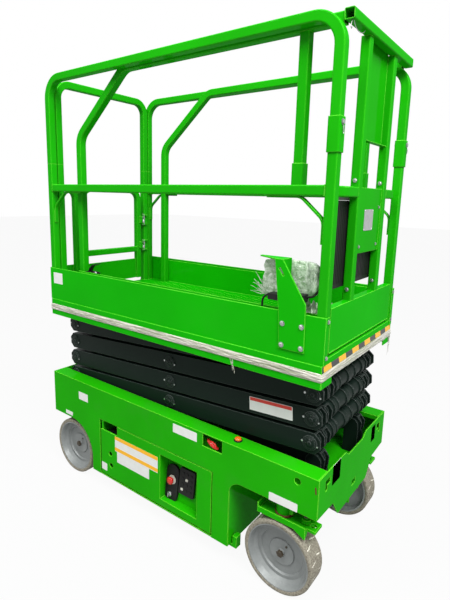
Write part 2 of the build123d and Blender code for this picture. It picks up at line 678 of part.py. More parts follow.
barrel = rod_x(barrel_radius, 36, barrel_end, 0, 0) + rod_x(barrel_radius + 5, barrel_end - 40, barrel_end, 0, 0)
barrel += rod_y(cylinder_eye_radius, 0, 0, -cylinder_eye_width / 2, cylinder_eye_width / 2)
barrel += block((0, 40), (-cylinder_eye_width / 2, cylinder_eye_width / 2), (-26, 26))
barrel -= rod_y(cylinder_pin_radius + running_fit, 0, 0, -cylinder_eye_width, cylinder_eye_width)
barrel -= rod_x(rod_radius + running_fit, rod_inner_end - 20, barrel_end + 1, 0, 0)
save("cylinder_barrel", at_base * barrel)

rod = rod_x(rod_radius, rod_inner_end, cylinder_length - 20, 0, 0)
rod += rod_y(30, cylinder_length, 0, -cylinder_eye_width / 2, cylinder_eye_width / 2)
rod += rod_y(15, cylinder_length, 0, -rod_lug_y + 2, rod_lug_y - 2)
save("cylinder_rod", at_base * rod)

# ================================================================ platform deck
deck_underside = deck_floor - deck_sheet
deck_span = (deck_rear, deck_front)
inside_toe = toe_half_width - toe_sheet
lip_y = toe_half_width - toe_lip
deck = block(deck_span, (-inside_toe, inside_toe), (deck_underside, deck_floor))
for side in (LEFT, RIGHT):
    outer = side * deck_half_width
    deck += block(deck_span, sorted((side * toe_half_width, outer)), (deck_bottom, deck_step))
    deck += block(deck_span, sorted((outer - side * channel_flange, outer)), (deck_bottom, deck_bottom + 5))
    deck += block(deck_span, sorted((side * lip_y, outer)), (deck_step - 5, deck_step))
    deck += block(deck_span, sorted((side * lip_y, side * inside_toe)), (deck_step - 5, deck_floor))
front_beam = block((deck_front - 5, deck_front), (-inside_toe, inside_toe), (deck_bottom, deck_floor))
front_beam -= block((deck_front - 6, deck_front + 1), (-beam_notch_half, beam_notch_half), (deck_bottom - 1, wrap_bottom))
deck += front_beam
deck += block((deck_rear, deck_rear + 5), (-inside_toe, inside_toe), (deck_bottom, deck_floor))
top_track = level_z(levels) + roller_radius + slip_gap
for side in (LEFT, RIGHT):
    deck += block((-pivot_x - 50, 0), sorted((side * (outer_arm_y - arm_width - 2), side * (outer_arm_y + 2))),
                  (top_track, deck_underside))
    y_pair = sorted((side * (inner_arm_y - 5), side * (inner_arm_y + 5)))
    deck += rod_y(ear_radius, pivot_x, level_z(levels), *y_pair)
    deck += block((pivot_x - ear_radius, pivot_x + ear_radius), y_pair, (level_z(levels), deck_underside))
    y_pair = sorted((side * (outer_arm_y + 3), side * (outer_arm_y + 13)))
    deck += rod_y(ear_radius, pivot_x, level_z(levels), *y_pair)
    deck += block((pivot_x - ear_radius, pivot_x + ear_radius), y_pair, (level_z(levels), deck_underside))
    deck += rod_y(arm_pin_radius, pivot_x, level_z(levels), side * (inner_arm_y - 5), side * (outer_arm_y + 13))
save("platform_deck", deck)

# ---- toe boards: folded sheets along the sides with front returns, and the fixed rear board
toe = []
for side in (LEFT, RIGHT):
    sheet = block((toe_rear, deck_front), sorted((side * (toe_half_width - toe_sheet), side * toe_half_width)),
                  (deck_step + slip_gap, toe_top))
    sheet += block((toe_rear, deck_front), sorted((side * (toe_half_width - 5), side * toe_half_width)),
                   (toe_top - 14, toe_top))
    sheet += block((deck_front, deck_front + toe_sheet),
                   sorted((side * (toe_half_width - toe_return), side * toe_half_width)),
                   (deck_step + slip_gap, toe_top))
    toe.append(sheet)
save("toe_boards", *toe)

# ---- soft edge strip taped round the frame channel
wrap = block((deck_rear, deck_front + wrap_depth), (-deck_half_width - wrap_depth, deck_half_width + wrap_depth),
             (wrap_bottom, wrap_top))
wrap -= block((deck_rear - 1, deck_front + slip_gap), (-deck_half_width - slip_gap, deck_half_width + slip_gap),
              (wrap_bottom - 1, wrap_top + 1))
save("edge_strip", wrap)

# ================================================================ main rails
mid_z = mid_rail_top - rail_tube / 2
brace_drop = 1480.0
lower = []
for side in (LEFT, RIGHT):
    y = side * rail_y
    half = rail_tube / 2
    frame = post(rail_rear_x, y, deck_floor, rail_joint) + post(rail_front_x, y, deck_floor, rail_joint + 50)
    frame += bar_x(rail_rear_x + half - 1, rail_front_x - half + 1, y, mid_z)
    brace_z = mid_rail_top - rail_tube - 4
    for x_post, inward in ((rail_rear_x + half + 4, 1), (rail_front_x - half - 4, -1)):
        run = [(x_post, y, brace_drop), (x_post, y, brace_drop + 85), (x_post + inward * 90, y, brace_z),
               (x_post + inward * 230, y, brace_z)]
        path = FilletPolyline(*run, radius=45)
        section = Plane(origin=run[0], x_dir=(0, 1, 0), z_dir=(0, 0, 1)) * Rectangle(20, 8)
        frame += sweep(section, path=path)
    lower.append(frame)
save("lower_rails", *lower)

upper = []
for side in (LEFT, RIGHT):
    y = side * rail_y
    centre_z = rail_top - rail_tube / 2
    loop = bent_tube([(rail_rear_x, y, rail_joint + slip_gap), (rail_rear_x, y, centre_z),
                      (rail_front_x, y, centre_z), (rail_front_x, y, rail_joint + 50 + slip_gap)], side_rail_bend)
    sleeve = Pos(rail_front_x, y, rail_joint - 3) * extrude(RectangleRounded(sleeve_tube, sleeve_tube, 6),
                                                           amount=sleeve_top - rail_joint + 3)
    sleeve -= Pos(rail_front_x, y, rail_joint - 4) * extrude(Rectangle(rail_tube + 0.6, rail_tube + 0.6), amount=55)
    sleeve -= Pos(rail_front_x, y, rail_joint + 40) * extrude(Rectangle(rail_tube - 4, rail_tube - 4), amount=100)
    upper.append(loop + sleeve)
save("upper_rails", *upper)

# ---- rear frame: second posts, the fixed hoop beside the gate, and the loop across the top
half = rail_tube / 2
hoop_y = 100 - second_post_y
gate_hinge_x = rail_rear_x + rail_tube / 2 + gate_barrel_radius
gate_hinges = (1310.0, 1480.0)
hinge_half = 22.0
hung = post(rail_rear_x, second_post_y, deck_floor, rail_joint)
for hinge_z in gate_hinges:
    low, high = hinge_z - hinge_half, hinge_z + hinge_half
    for z0, z1 in ((low - 12, low - 2), (high + 2, high + 12)):
        hung += block((gate_hinge_x - gate_barrel_radius - 1, gate_hinge_x + gate_barrel_radius),
                      (gate_hinge_y - gate_barrel_radius, second_post_y), (z0, z1))
    hung += rod_z(gate_pin_radius, gate_hinge_x, gate_hinge_y, low - 12, high + 12)
rear_low = [hung]
near = post(rail_rear_x, RIGHT * second_post_y, deck_floor, rail_joint)
near += bent_tube([(rail_rear_x, -second_post_y + half - 1, mid_z), (rail_rear_x, hoop_y, mid_z),
                   (rail_rear_x, hoop_y, deck_floor)], 60, gate_tube)
near += block((toe_rear, toe_rear + 3), (-second_post_y + half - 1, hoop_y + 12), (deck_floor, toe_top))
rear_low.append(near)
save("rear_frame", *rear_low)
rear_loop_top = rail_top - rail_tube - slip_gap
rear_loop = bent_tube([(rail_rear_x, -second_post_y, rail_joint + slip_gap), (rail_rear_x, -second_post_y, rail_top - 26),
                       (rail_rear_x, second_post_y, rail_top - 26), (rail_rear_x, second_post_y, rail_joint + slip_gap)],
                      rail_bend)
save("rear_upper_rail", rear_loop)

# ---- entry gate: hoop with a kick plate, hung on the left second post
gate_bottom = ext_floor + 2 * moving_gap
gate_post_y = gate_hinge_y - 12 - gate_tube / 2
gate_edge_y = gate_swing_edge + gate_tube / 2
gate_inside = (gate_edge_y + gate_tube / 2 - 1, gate_post_y - gate_tube / 2 + 1)
gate = bent_tube([(rail_rear_x, gate_post_y, gate_bottom), (rail_rear_x, gate_post_y, mid_z),
                  (rail_rear_x, gate_edge_y, mid_z), (rail_rear_x, gate_edge_y, gate_bottom)], 60, gate_tube)
gate += bar_y(rail_rear_x, *gate_inside, toe_top + 60, gate_tube)
gate += block((rail_rear_x - 2, rail_rear_x + 2), gate_inside, (gate_bottom, toe_top - 4))
for hinge_z in gate_hinges:
    low, high = hinge_z - hinge_half, hinge_z + hinge_half
    gate += block((rail_rear_x + gate_tube / 2 - 1, gate_hinge_x - 2), (gate_post_y, gate_hinge_y), (low, high))
    gate += rod_z(gate_barrel_radius, gate_hinge_x, gate_hinge_y, low, high)
    gate -= rod_z(gate_pin_radius + running_fit, gate_hinge_x, gate_hinge_y, low - 1, high + 1)
save("entry_gate", gate)

# ================================================================ extension deck
ext_sheet = 3.0
panel_flange = 30.0
ext = block((ext_rear, ext_panel_front - ext_sheet), (-ext_half_width, ext_half_width), (ext_floor - 4, ext_floor))
for side in (LEFT, RIGHT):
    ext += block((ext_rear, ext_panel_front - ext_sheet),
                 sorted((side * (ext_half_width - ext_sheet), side * ext_half_width)),
                 (deck_floor + slip_gap, toe_top - 4))
panel_width = (-ext_panel_half, ext_panel_half)
ext += block((ext_panel_front - ext_sheet, ext_panel_front), panel_width, (ext_panel_bottom, ext_panel_top))
ext += block((ext_panel_front - panel_flange, ext_panel_front), panel_width, (ext_panel_top - ext_sheet, ext_panel_top))
for side in (LEFT, RIGHT):
    ext += block((ext_panel_front - panel_flange, ext_panel_front),
                 sorted((side * (ext_panel_half - ext_sheet), side * ext_panel_half)),
                 (ext_panel_bottom, ext_panel_top))
save("extension_deck", ext)

ext_rails = []
ext_mid = mid_z
ext_top_z = ext_rail_top - rail_tube / 2
mid_front_x = frame_front - rail_tube / 2
for side in (LEFT, RIGHT):
    y = side * ext_rail_y
    frame = bent_tube([(ext_post_rear_x, y, ext_floor), (ext_post_rear_x, y, 1930), (-268, y, ext_top_z),
                       (crossbar_front - frame_tube, y, ext_top_z)], 90)
    frame += bent_tube([(ext_post_rear_x + half - 1, y, ext_mid), (mid_front_x, y, ext_mid),
                        (mid_front_x, side * (frame_post_y + frame_tube / 2), ext_mid)], rail_bend)
    frame += post(ext_post_front_x, y, mid_rail_top - 1, ext_rail_top - rail_tube + 1)
    frame += post(ext_post_front_x, y, mid_rail_top - 1, mid_rail_top + 78, sleeve_tube, 5)
    ext_rails.append(frame)
save("extension_rails", *ext_rails)

# ---- front frame of the extension: crossbar, two posts on the panel, two folded sheets between
frame_x = frame_front - frame_tube / 2
crossbar_half = ext_panel_half
crossbar_z = rail_top - frame_tube / 2
low_sheet = (1430.0, mid_rail_top)
high_sheet_bottom = 1860.0
frame_sheet = 3.0
sheet_setback = 8.0
sheet_flange = 24.0
front_frame = bar_y(crossbar_front - frame_tube / 2, -crossbar_half, crossbar_half, crossbar_z, frame_tube)
for side in (LEFT, RIGHT):
    y = side * frame_post_y
    front_frame += post(frame_x, y, ext_panel_top, crossbar_z - frame_tube / 2 + 1, frame_tube)
between_posts = (frame_tube / 2 - frame_post_y - 1, frame_post_y - frame_tube / 2 + 1)
sheets = (  # x of the front face, lower edge, upper edge, x of the flanges' free edge
    (frame_front - sheet_setback, *low_sheet, frame_front - sheet_setback - sheet_flange),
    (frame_front - frame_tube + 7, high_sheet_bottom, crossbar_z, frame_front - sheet_setback),
)
for front, z0, z1, free_edge in sheets:
    front_frame += block((front - frame_sheet, front), between_posts, (z0, z1))
    for z in (z0, z1 - frame_sheet):
        front_frame += block(sorted((front, free_edge)), between_posts, (z, z + frame_sheet))
save("front_frame", front_frame)

manual_box_z = (1302.0, mid_rail_top - rail_tube - slip_gap)
manual_box = block((764, frame_front - frame_tube - slip_gap), (-262, 150), manual_box_z)
save("manual_box", manual_box)

# ---- control bracket: a folded sheet outside the right toe board, with a cap and a front wall
bracket_sheet = 5.0
bracket_top = 1413.0
bracket_inner_y = toe_half_width - 60.0
cap_tip_x = 536.0
bracket_rear = 633.0                     # x of its top corners
bracket_front = 668.0
bracket_face = [(bracket_rear, bracket_top), (bracket_front, bracket_top), (767, 1260), (770, 1078), (664, 1078),
                (656, toe_top)]
bracket_y = -toe_half_width - bracket_sheet
bracket = side_profile(bracket_face, bracket_y, -toe_half_width)
cap = make_face(Polyline((cap_tip_x, -bracket_inner_y), (cap_tip_x, -bracket_inner_y - 14), (bracket_rear, bracket_y),
                         (bracket_front, bracket_y), (bracket_front, -bracket_inner_y), close=True))
bracket += Pos(0, 0, bracket_top) * extrude(cap, amount=bracket_sheet)
bracket += block((bracket_front - bracket_sheet, bracket_front), (bracket_y, -bracket_inner_y), (1345, bracket_top))
slot_lean = degrees(atan2(767 - bracket_front, bracket_top - 1260))
bracket -= Pos(bracket_front - 6, bracket_y, bracket_top - 42) * Rot(0, -slot_lean, 0) * Box(8, 4 * bracket_sheet, 34)
save("control_bracket", bracket)

# the platform controls hang inboard of the bracket, in their packing
control_box = block((540, 740), (-bracket_inner_y + slip_gap, -212), (1252, bracket_top - slip_gap))
save("control_box", control_box)

# ---- two leads of the controls: from a connector on the bracket's inner face, one down into the
# gap beside the extension, one into the front post
lead_radius = 4.0
lead_y = -toe_half_width + 33.0
connector_y = (-toe_half_width, lead_y + 9)
leads = (  # connector's x and z, then the lead's corners and their radius
    ((604, 650), (1258, 1282), [(606, 1270), (561, 1268), (561, deck_floor + slip_gap)], 34),
    ((722, 752), (1264, 1292), [(750, 1280), (778, 1287), (rail_front_x - half - 3.2, 1320)], 26),
)
control_leads = []
for connector_x, connector_z, corners, bend in leads:
    route = [(x, lead_y, z) for x, z in corners]
    run = Vector(*route[1]) - Vector(*route[0])
    section = Plane(origin=route[0], x_dir=(0, 1, 0), z_dir=run) * Circle(lead_radius)
    lead = sweep(section, path=FilletPolyline(*route, radius=bend))
    control_leads.append(lead + block(connector_x, connector_y, connector_z))
save("control_leads", *control_leads)

# ---- foot pedal of the deck lock, inside the extension's right toe board
pedal_y = -ext_half_width + ext_sheet + slip_gap
pedal_body = (-590.0, -500.0)
pedal_pad = (-560.0, -480.0)
pedal = block(pedal_body, (pedal_y, pedal_y + 36), (toe_top - 34, toe_top + 2))
pedal += block(pedal_pad, (pedal_y + 8, pedal_y + 26), (toe_top + 2, toe_top + 60))
save("deck_lock_pedal", pedal)
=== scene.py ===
"""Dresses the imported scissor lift: paint, rubber, film, fittings, fasteners, floor, light and camera."""
import math
import random

import bmesh
import bpy
from mathutils import Matrix, Vector, noise


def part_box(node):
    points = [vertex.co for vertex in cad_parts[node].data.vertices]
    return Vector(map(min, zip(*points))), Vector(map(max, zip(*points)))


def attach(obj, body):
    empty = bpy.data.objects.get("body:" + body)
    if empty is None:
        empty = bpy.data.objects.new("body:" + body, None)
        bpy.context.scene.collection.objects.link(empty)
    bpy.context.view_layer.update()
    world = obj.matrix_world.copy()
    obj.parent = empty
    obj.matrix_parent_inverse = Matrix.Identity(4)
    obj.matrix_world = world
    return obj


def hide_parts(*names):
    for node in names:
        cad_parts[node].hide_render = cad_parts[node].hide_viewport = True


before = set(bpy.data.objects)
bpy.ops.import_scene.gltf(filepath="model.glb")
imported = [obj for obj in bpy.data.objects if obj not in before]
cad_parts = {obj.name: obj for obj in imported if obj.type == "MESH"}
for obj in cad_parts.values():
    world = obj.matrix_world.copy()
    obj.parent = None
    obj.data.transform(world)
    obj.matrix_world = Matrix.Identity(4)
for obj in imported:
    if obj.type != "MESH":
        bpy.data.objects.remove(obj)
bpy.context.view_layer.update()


# ------------------------------------------------ chassis
# Folded 5 mm steel sheet, welded, then sprayed wet with gloss green enamel, with a painted highlight
# in a brighter green along its folds, dusty low down. The axles, trays, ladder and guards wear the same coat.
class Value:
    """What a node gives; Python's operators on it add Math nodes."""

    def __init__(self, shading, socket):
        self.shading, self.socket = shading, socket

    def math(self, operation, a, b):
        return self.shading.node("Math", {"operation": operation}, {0: a, 1: b})

    def __add__(self, other):
        return self.math("ADD", self, other)

    def __radd__(self, other):
        return self.math("ADD", other, self)

    def __sub__(self, other):
        return self.math("SUBTRACT", self, other)

    def __rsub__(self, other):
        return self.math("SUBTRACT", other, self)

    def __mul__(self, other):
        return self.math("MULTIPLY", self, other)

    def __rmul__(self, other):
        return self.math("MULTIPLY", other, self)


class Shading:
    """A node tree; every node but a shader's own is added by node()."""

    def __init__(self, tree):
        self.tree = tree

    def join(self, value, socket):
        if isinstance(value, Value):
            self.tree.links.new(value.socket, socket)
        elif isinstance(value, tuple) and len(value) == 3 and socket.type == "RGBA":
            socket.default_value = (*value, 1)
        else:
            socket.default_value = value

    def node(self, kind, settings, inputs, output=0):
        made = self.tree.nodes.new("ShaderNode" + kind)
        for key, setting in settings.items():
            if key == "stops":
                for element, (at, shade) in zip(made.color_ramp.elements, setting):
                    element.position, element.color = at, (shade, shade, shade, 1)
            else:
                setattr(made, key, setting)
        for key, value in inputs.items():
            self.join(value, made.inputs[key])
        return Value(self, made.outputs[output]) if len(made.outputs) else None


class Finish(Shading):
    """A material: its Principled shader and the nodes that feed it."""

    def __init__(self, name, metallic=0.0, roughness=0.4, coat=0.0, shine=0.3):
        self.material = bpy.data.materials.new(name)
        self.material.use_nodes = True
        super().__init__(self.material.node_tree)
        self.shader = self.tree.nodes["Principled BSDF"]
        for socket, amount in (("Metallic", metallic), ("Roughness", roughness), ("Coat Weight", coat),
                               ("Specular IOR Level", shine), ("Coat Roughness", 0.08)):
            self.shader.inputs[socket].default_value = amount
        self.place = self.node("TexCoord", {}, {}, "Object")

    def feed(self, **inputs):
        for name, value in inputs.items():
            self.join(value, self.shader.inputs[name.replace("_", " ")])

    def noise(self, scale, detail, roughness=0.55, place=None):
        return self.node("TexNoise", {}, {"Vector": place or self.place, "Scale": scale, "Detail": detail,
                                          "Roughness": roughness})

    def steps(self, value, *stops):
        return self.node("ValToRGB", {"stops": stops}, {"Fac": value})

    def blend(self, factor, under, over):
        return self.node("Mix", {"data_type": "RGBA"}, {0: factor, 6: under, 7: over}, 2)

    def rounded(self, radius):
        """The surface's direction, smoothed over its edges."""
        return self.node("Bevel", {"samples": 4}, {"Radius": radius})

    def rim(self, soft):
        """Rises along the edges, where the smoothed direction leaves the flat one."""
        flat = self.node("NewGeometry", {}, {}, "Normal")
        return 1 - self.node("VectorMath", {"operation": "DOT_PRODUCT"}, {0: soft, 1: flat}, "Value")

    def relief(self, height, distance, strength, over=None):
        inputs = {"Height": height, "Distance": distance, "Strength": strength}
        if over:
            inputs["Normal"] = over
        self.feed(Normal=self.node("Bump", {}, inputs))


def enamel(name, colour, fold, dust_share=0.25, gloss=0.32):
    paint = Finish(name, roughness=gloss, coat=0.07, shine=0.0)
    cloud = paint.noise(2.2, 4)
    fine = paint.noise(140, 2)
    soft = paint.rounded(0.0040)
    # Painted highlight: the brighter fold colour is blended in along the edges, broken up by noise.
    painted_edge_highlight = paint.steps(paint.rim(soft) * (paint.noise(45, 3) + 0.65), (0.015, 0), (0.13, 1))
    shade = paint.blend(paint.steps(cloud, (0.35, 0), (0.7, 1)), tuple(c * 0.86 for c in colour), colour)
    shade = paint.blend(painted_edge_highlight * 0.9, shade, fold)
    grime = paint.steps(paint.noise(7, 6, 0.7), (0.52, 0), (0.78, 1)) * dust_share
    shade = paint.blend(grime * 0.4, shade, (0.09, 0.12, 0.06))
    paint.feed(Base_Color=shade, Roughness=grime * 0.5 + fine * 0.08 + (gloss - 0.04))
    paint.relief(paint.noise(320, 2), 0.00012, 0.25, soft)
    return paint.material


def coat(material, *names):
    for name in names:
        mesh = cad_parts[name].data
        mesh.materials.clear()
        mesh.materials.append(material)


body_green = enamel("green enamel", (0.014, 0.400, 0.002), (0.24, 0.92, 0.05))
coat(body_green, "chassis_side_sheets", "chassis_end_plates", "chassis_pan", "spine_and_shelves",
     "tray_bay_ends", "tray_left", "tray_right", "entry_ladder", "front_axle", "rear_axle", "knuckle_left",
     "knuckle_right", "tie_rod", "pothole_guards")


def finished(name, shape, materials, body, crease=35):
    """Makes a bmesh into a piece of the machine that rides on a body."""
    mesh = bpy.data.meshes.new(name)
    bmesh.ops.recalc_face_normals(shape, faces=shape.faces)
    shape.to_mesh(mesh)
    shape.free()
    for material in materials:
        mesh.materials.append(material)
    mesh.shade_smooth()
    mesh.set_sharp_from_angle(angle=math.radians(crease))
    made = bpy.data.objects.new(name, mesh)
    bpy.context.scene.collection.objects.link(made)
    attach(made, body)
    return made


def slab(shape, middle, across, upward, width, height, thick, corner=0.003, paint=0, slant=0.0):
    """Adds a thin plate with rounded corners, lying in the plane of across and upward."""
    across, upward = Vector(across), Vector(upward)
    out = across.cross(upward) * thick
    outline = []
    for turn, (sx, sy) in enumerate(((1, 1), (-1, 1), (-1, -1), (1, -1))):
        for step in range(4):
            angle = math.radians(90 * turn + 30 * step)
            u = sx * (width / 2 - corner) + corner * math.cos(angle)
            v = sy * (height / 2 - corner) + corner * math.sin(angle)
            outline.append(Vector(middle) + across * (u - slant * v) + upward * v)
    base = [shape.verts.new(p) for p in outline]
    top = [shape.verts.new(p + out) for p in outline]
    faces = [shape.faces.new(top), shape.faces.new(base[::-1])]
    faces += [shape.faces.new((base[k - 1], base[k], top[k], top[k - 1])) for k in range(len(outline))]
    for face in faces:
        face.material_index = paint


def turned(shape, middle, axis, profile, steps=20, paint=0):
    """Adds a turned body from (radius, distance along the axis) pairs; it starts and ends at radius 0."""
    lean = Vector((0, 0, 1)).rotation_difference(Vector(axis)).to_matrix()
    rings = []
    for radius, along in profile:
        spokes = [(radius * math.cos(2 * math.pi * k / steps), radius * math.sin(2 * math.pi * k / steps))
                  for k in range(steps if radius else 1)]
        rings.append([shape.verts.new(Vector(middle) + lean @ Vector((x, y, along))) for x, y in spokes])
    for low, high in zip(rings, rings[1:]):
        for k in range(steps):
            corners = [low[k - 1 if len(low) > 1 else 0], low[k if len(low) > 1 else 0],
                       high[k if len(high) > 1 else 0], high[k - 1 if len(high) > 1 else 0]]
            corners = [c for n, c in enumerate(corners) if c not in corners[:n]]
            if len(corners) > 2:
                shape.faces.new(corners).material_index = paint


def stud(radius, edge, crown, height):
    """The profile of a nut, knob or foot: straight up to its edge, then in to its smaller crown."""
    return [(0, 0), (radius, 0), (radius, edge), (crown, height), (0, height)]


def bolt(shape, middle, axis, across=0.016):
    """Adds a hexagon head on its washer."""
    r = across / 2
    turned(shape, middle, axis, [(0, 0), (r * 1.35, 0), (r * 1.35, r * 0.18), (0, r * 0.18)])
    turned(shape, middle, axis, stud(r * 1.1, r * 0.7, r * 0.9, r * 0.85), 6)


def mottled(name, grain, low, high, bumps=None, **looks):
    """A finish that wanders between two shades; grain is a noise, bumps a noise, its depth and strength."""
    made = Finish(name, **looks)
    made.feed(Base_Color=made.blend(made.noise(*grain), low, high))
    if bumps:
        made.relief(made.noise(*bumps[0]), *bumps[1:])
    return made


# Blank stickers: white vinyl, slightly dusty, some with plain yellow bands.
def vinyl(name, low, high):
    return mottled(name, (35, 4), low, high, ((120, 3), 0.0002, 0.3), roughness=0.35).material


white_vinyl = vinyl("white vinyl", (0.66, 0.67, 0.64), (0.80, 0.81, 0.79))
yellow_vinyl = vinyl("yellow vinyl", (0.86, 0.42, 0.003), (0.95, 0.48, 0.005))
black_vinyl = vinyl("black vinyl", (0.010, 0.010, 0.010), (0.022, 0.022, 0.022))
film_gauge = 0.0004
EAST, NORTH, UP = Vector((1, 0, 0)), Vector((0, 1, 0)), Vector((0, 0, 1))
wheel_low, wheel_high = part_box("rim_front_left")
tail_low, tail_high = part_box("rim_rear_left")
mid_x = (wheel_low.x + wheel_high.x + tail_low.x + tail_high.x) / 4  # half-way between the axles
chassis_low, chassis_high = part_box("chassis_side_sheets")
end_plate_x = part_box("chassis_end_plates")[1].x
shape = bmesh.new()
for from_middle, height, wide, tall in (  # on the right side sheet: x from mid wheelbase, z, size
        (0.184, 0.555, 0.148, 0.044), (0.711, 0.4375, 0.130, 0.036), (-0.580, 0.506, 0.082, 0.046),
        (-0.718, 0.368, 0.066, 0.023)):
    slab(shape, (mid_x + from_middle, chassis_low.y, height), EAST, UP, wide, tall, film_gauge)
for y, height, wide, tall in ((-0.213, 0.549, 0.080, 0.088), (0.224, 0.536, 0.052, 0.076)):
    slab(shape, (end_plate_x - film_gauge, y, height), NORTH, UP, wide, tall, film_gauge)
finished("chassis_labels", shape, [white_vinyl], "chassis")

# Zinc-plated fasteners: four bolts through the rear plate, inside the ladder's uprights.
zinc = mottled("bright zinc", (60, 3), (0.26, 0.29, 0.27), (0.52, 0.54, 0.53), metallic=1.0, roughness=0.35)
zinc.feed(Roughness=zinc.noise(90, 3) * 0.3 + 0.22)
shape = bmesh.new()
for sign in (-1, 1):
    for height in (0.40, 0.53):
        bolt(shape, (chassis_low.x, sign * 0.155, height), -EAST, 0.014)
finished("chassis_fasteners", shape, [zinc.material], "chassis")

# Bare rust where the coat is chipped on the right front edge, and painted shade on the kingpin collars.
rust_and_painted_shade = mottled("rust_and_painted_shade", (140, 5, 0.7), (0.035, 0.014, 0.007), (0.17, 0.065, 0.022), ((300, 4), 0.0006, 0.8),
               roughness=0.9).material
shape = bmesh.new()
slab(shape, (chassis_high.x - 0.012, chassis_low.y, 0.545), EAST, UP, 0.006, 0.030, 0.0003, 0.0028, 0, 0.1)
finished("paint_chip", shape, [rust_and_painted_shade], "chassis")
hands = (("left", 1), ("right", -1))
pin_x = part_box("front_axle")[1].x - 0.052
pin_y = 0.320
# A thin dark disc on each kingpin collar, standing in for the shade in the hollow round the pin.
for hand, sign in hands:
    shape = bmesh.new()
    turned(shape, (pin_x, sign * pin_y, 0.3475), UP,
           [(0, 0), (0.039, 0), (0.040, 0.004), (0.037, 0.008), (0, 0.008)], 40)
    finished(f"kingpin_collar_{hand}", shape, [rust_and_painted_shade], "chassis")

# ------------------------------------------------ wheels
# Solid grey non-marking rubber with shallow staggered cuts across the tread, packed with pale dust,
# on a dished steel rim in silver grey; a greased castle nut and its split pin hold it on the axle.
rubber = Finish("non-marking rubber", roughness=0.85)
marl = rubber.steps(rubber.noise(120, 6, 0.8), (0.38, 0), (0.68, 1))
scuff = rubber.steps(rubber.noise(38, 4, 0.8), (0.66, 0), (0.70, 1))
speck = rubber.steps(rubber.noise(190, 4, 0.8), (0.42, 0), (0.58, 1))
stained = rubber.blend(speck, (0.075, 0.056, 0.042), (0.27, 0.24, 0.19))
worn = rubber.blend(marl, stained, (0.34, 0.33, 0.26))
rubber.feed(Base_Color=rubber.blend(scuff * 0.7, worn, (0.70, 0.68, 0.57)))
rubber.relief(rubber.noise(170, 5, 0.7), 0.0015, 0.7)
dust = Finish("packed dust", roughness=0.95)
caked = dust.steps(dust.noise(90, 4), (0.4, 0), (0.55, 1))
dust.feed(Base_Color=dust.blend(caked, (0.34, 0.31, 0.25), (0.80, 0.78, 0.68)))
dust.relief(dust.noise(400, 3), 0.0005, 0.5)
silver = Finish("rim enamel", metallic=0.1, roughness=0.42)
tarnish = silver.steps(silver.noise(7, 6, 0.7), (0.35, 0), (0.7, 1))
silver.feed(Base_Color=silver.blend(tarnish, (0.20, 0.215, 0.212), (0.27, 0.285, 0.28)),
            Roughness=silver.noise(20, 4) * 0.2 + 0.3)
silver.relief(silver.noise(200, 2), 0.0002, 0.3, silver.rounded(0.002))
grease = mottled("old grease", (160, 4), (0.012, 0.010, 0.008), (0.075, 0.055, 0.030),
                 ((260, 4), 0.0008, 0.8), roughness=0.45).material
shoulder = 0.007
groove = 0.0022
cuts, pitch, cut_wide = 16, 30, 2  # cuts round the tyre, steps to the next and across one
cut_inside, cut_outside = 0.14, 0.90  # a cut's ends, as shares of the tread's half width
slant_far, slant_near, stagger = 7, 5, 9  # steps a cut slants on each side, and between the sides


def tyre(node):
    low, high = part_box(node)
    rim_low, rim_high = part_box(node.replace("tyre", "rim"))
    seat = (rim_high.z - rim_low.z) / 2
    centre, outer, half = (low + high) / 2, (high.z - low.z) / 2, (high.y - low.y) / 2
    profile = [(seat, half - 0.002), (seat + 0.003, half), (outer - shoulder, half)]
    profile += [(outer - shoulder + shoulder * math.sin(a), half - shoulder + shoulder * math.cos(a))
                for a in (math.radians(30), math.radians(60))]
    rows = 16
    span = half - shoulder
    profile += [(outer, span - 2 * span * k / rows) for k in range(rows + 1)]
    profile += [(r, -y) for r, y in profile[4::-1]]
    steps = cuts * pitch
    shape = bmesh.new()
    rings, floors = [], set()
    for k in range(steps):
        angle = 2 * math.pi * k / steps
        ring = []
        for n, (r, y) in enumerate(profile):
            across = y / span
            lag = round(slant_far * across) if across > 0 else stagger - round(slant_near * across)
            on_tread = r > outer - 1e-6 and cut_inside < abs(across) < cut_outside
            if on_tread and (k + lag) % pitch < cut_wide:
                r -= groove
                floors.add((k, n))
            ring.append(shape.verts.new(centre + Vector((r * math.cos(angle), y, r * math.sin(angle)))))
        rings.append(ring)
    for k in range(steps):
        before = (k - 1) % steps
        for n in range(len(profile)):
            face = shape.faces.new((rings[before][n - 1], rings[before][n], rings[k][n], rings[k][n - 1]))
            touching = sum(spot in floors for spot in ((before, n - 1), (before, n), (k, n), (k, n - 1)))
            face.material_index = 1 if touching >= 2 else 0
    return shape


def rod(shape, start, end, radius, steps=12, paint=0):
    run = Vector(end) - Vector(start)
    soft = min(radius * 0.2, run.length * 0.2)
    turned(shape, start, run, [(0, 0), (radius - soft, 0), (radius, soft), (radius, run.length - soft),
                               (radius - soft, run.length), (0, run.length)], steps, paint)


for end in ("front", "rear"):
    for hand, sign in hands:
        body = f"wheel_{end}_{hand}"
        rolled = finished(f"treaded_tyre_{end}_{hand}", tyre(f"tyre_{end}_{hand}"),
                          [rubber.material, dust.material], body)
        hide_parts(f"tyre_{end}_{hand}")
        coat(silver.material, f"rim_{end}_{hand}")
        low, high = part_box(f"rim_{end}_{hand}")
        axle = (low + high) / 2
        disc = sign * (abs(axle.y) + 0.0145)  # the rim's disc stands outside its middle
        shape = bmesh.new()
        turned(shape, (axle.x, disc, axle.z), (0, sign, 0), stud(0.0160, 0.010, 0.013, 0.0125), 6)
        rod(shape, (axle.x - 0.018, disc + sign * 0.008, axle.z + 0.003),
            (axle.x + 0.018, disc + sign * 0.008, axle.z - 0.003), 0.0015)
        turned(shape, (axle.x + 0.023, disc - sign * 0.0045, axle.z + 0.036), (0, sign, 0),
               [(0, 0), (0.0050, 0), (0.0045, 0.002), (0, 0.0022)], 16)
        finished(f"axle_nut_{end}_{hand}", shape, [grease], body)

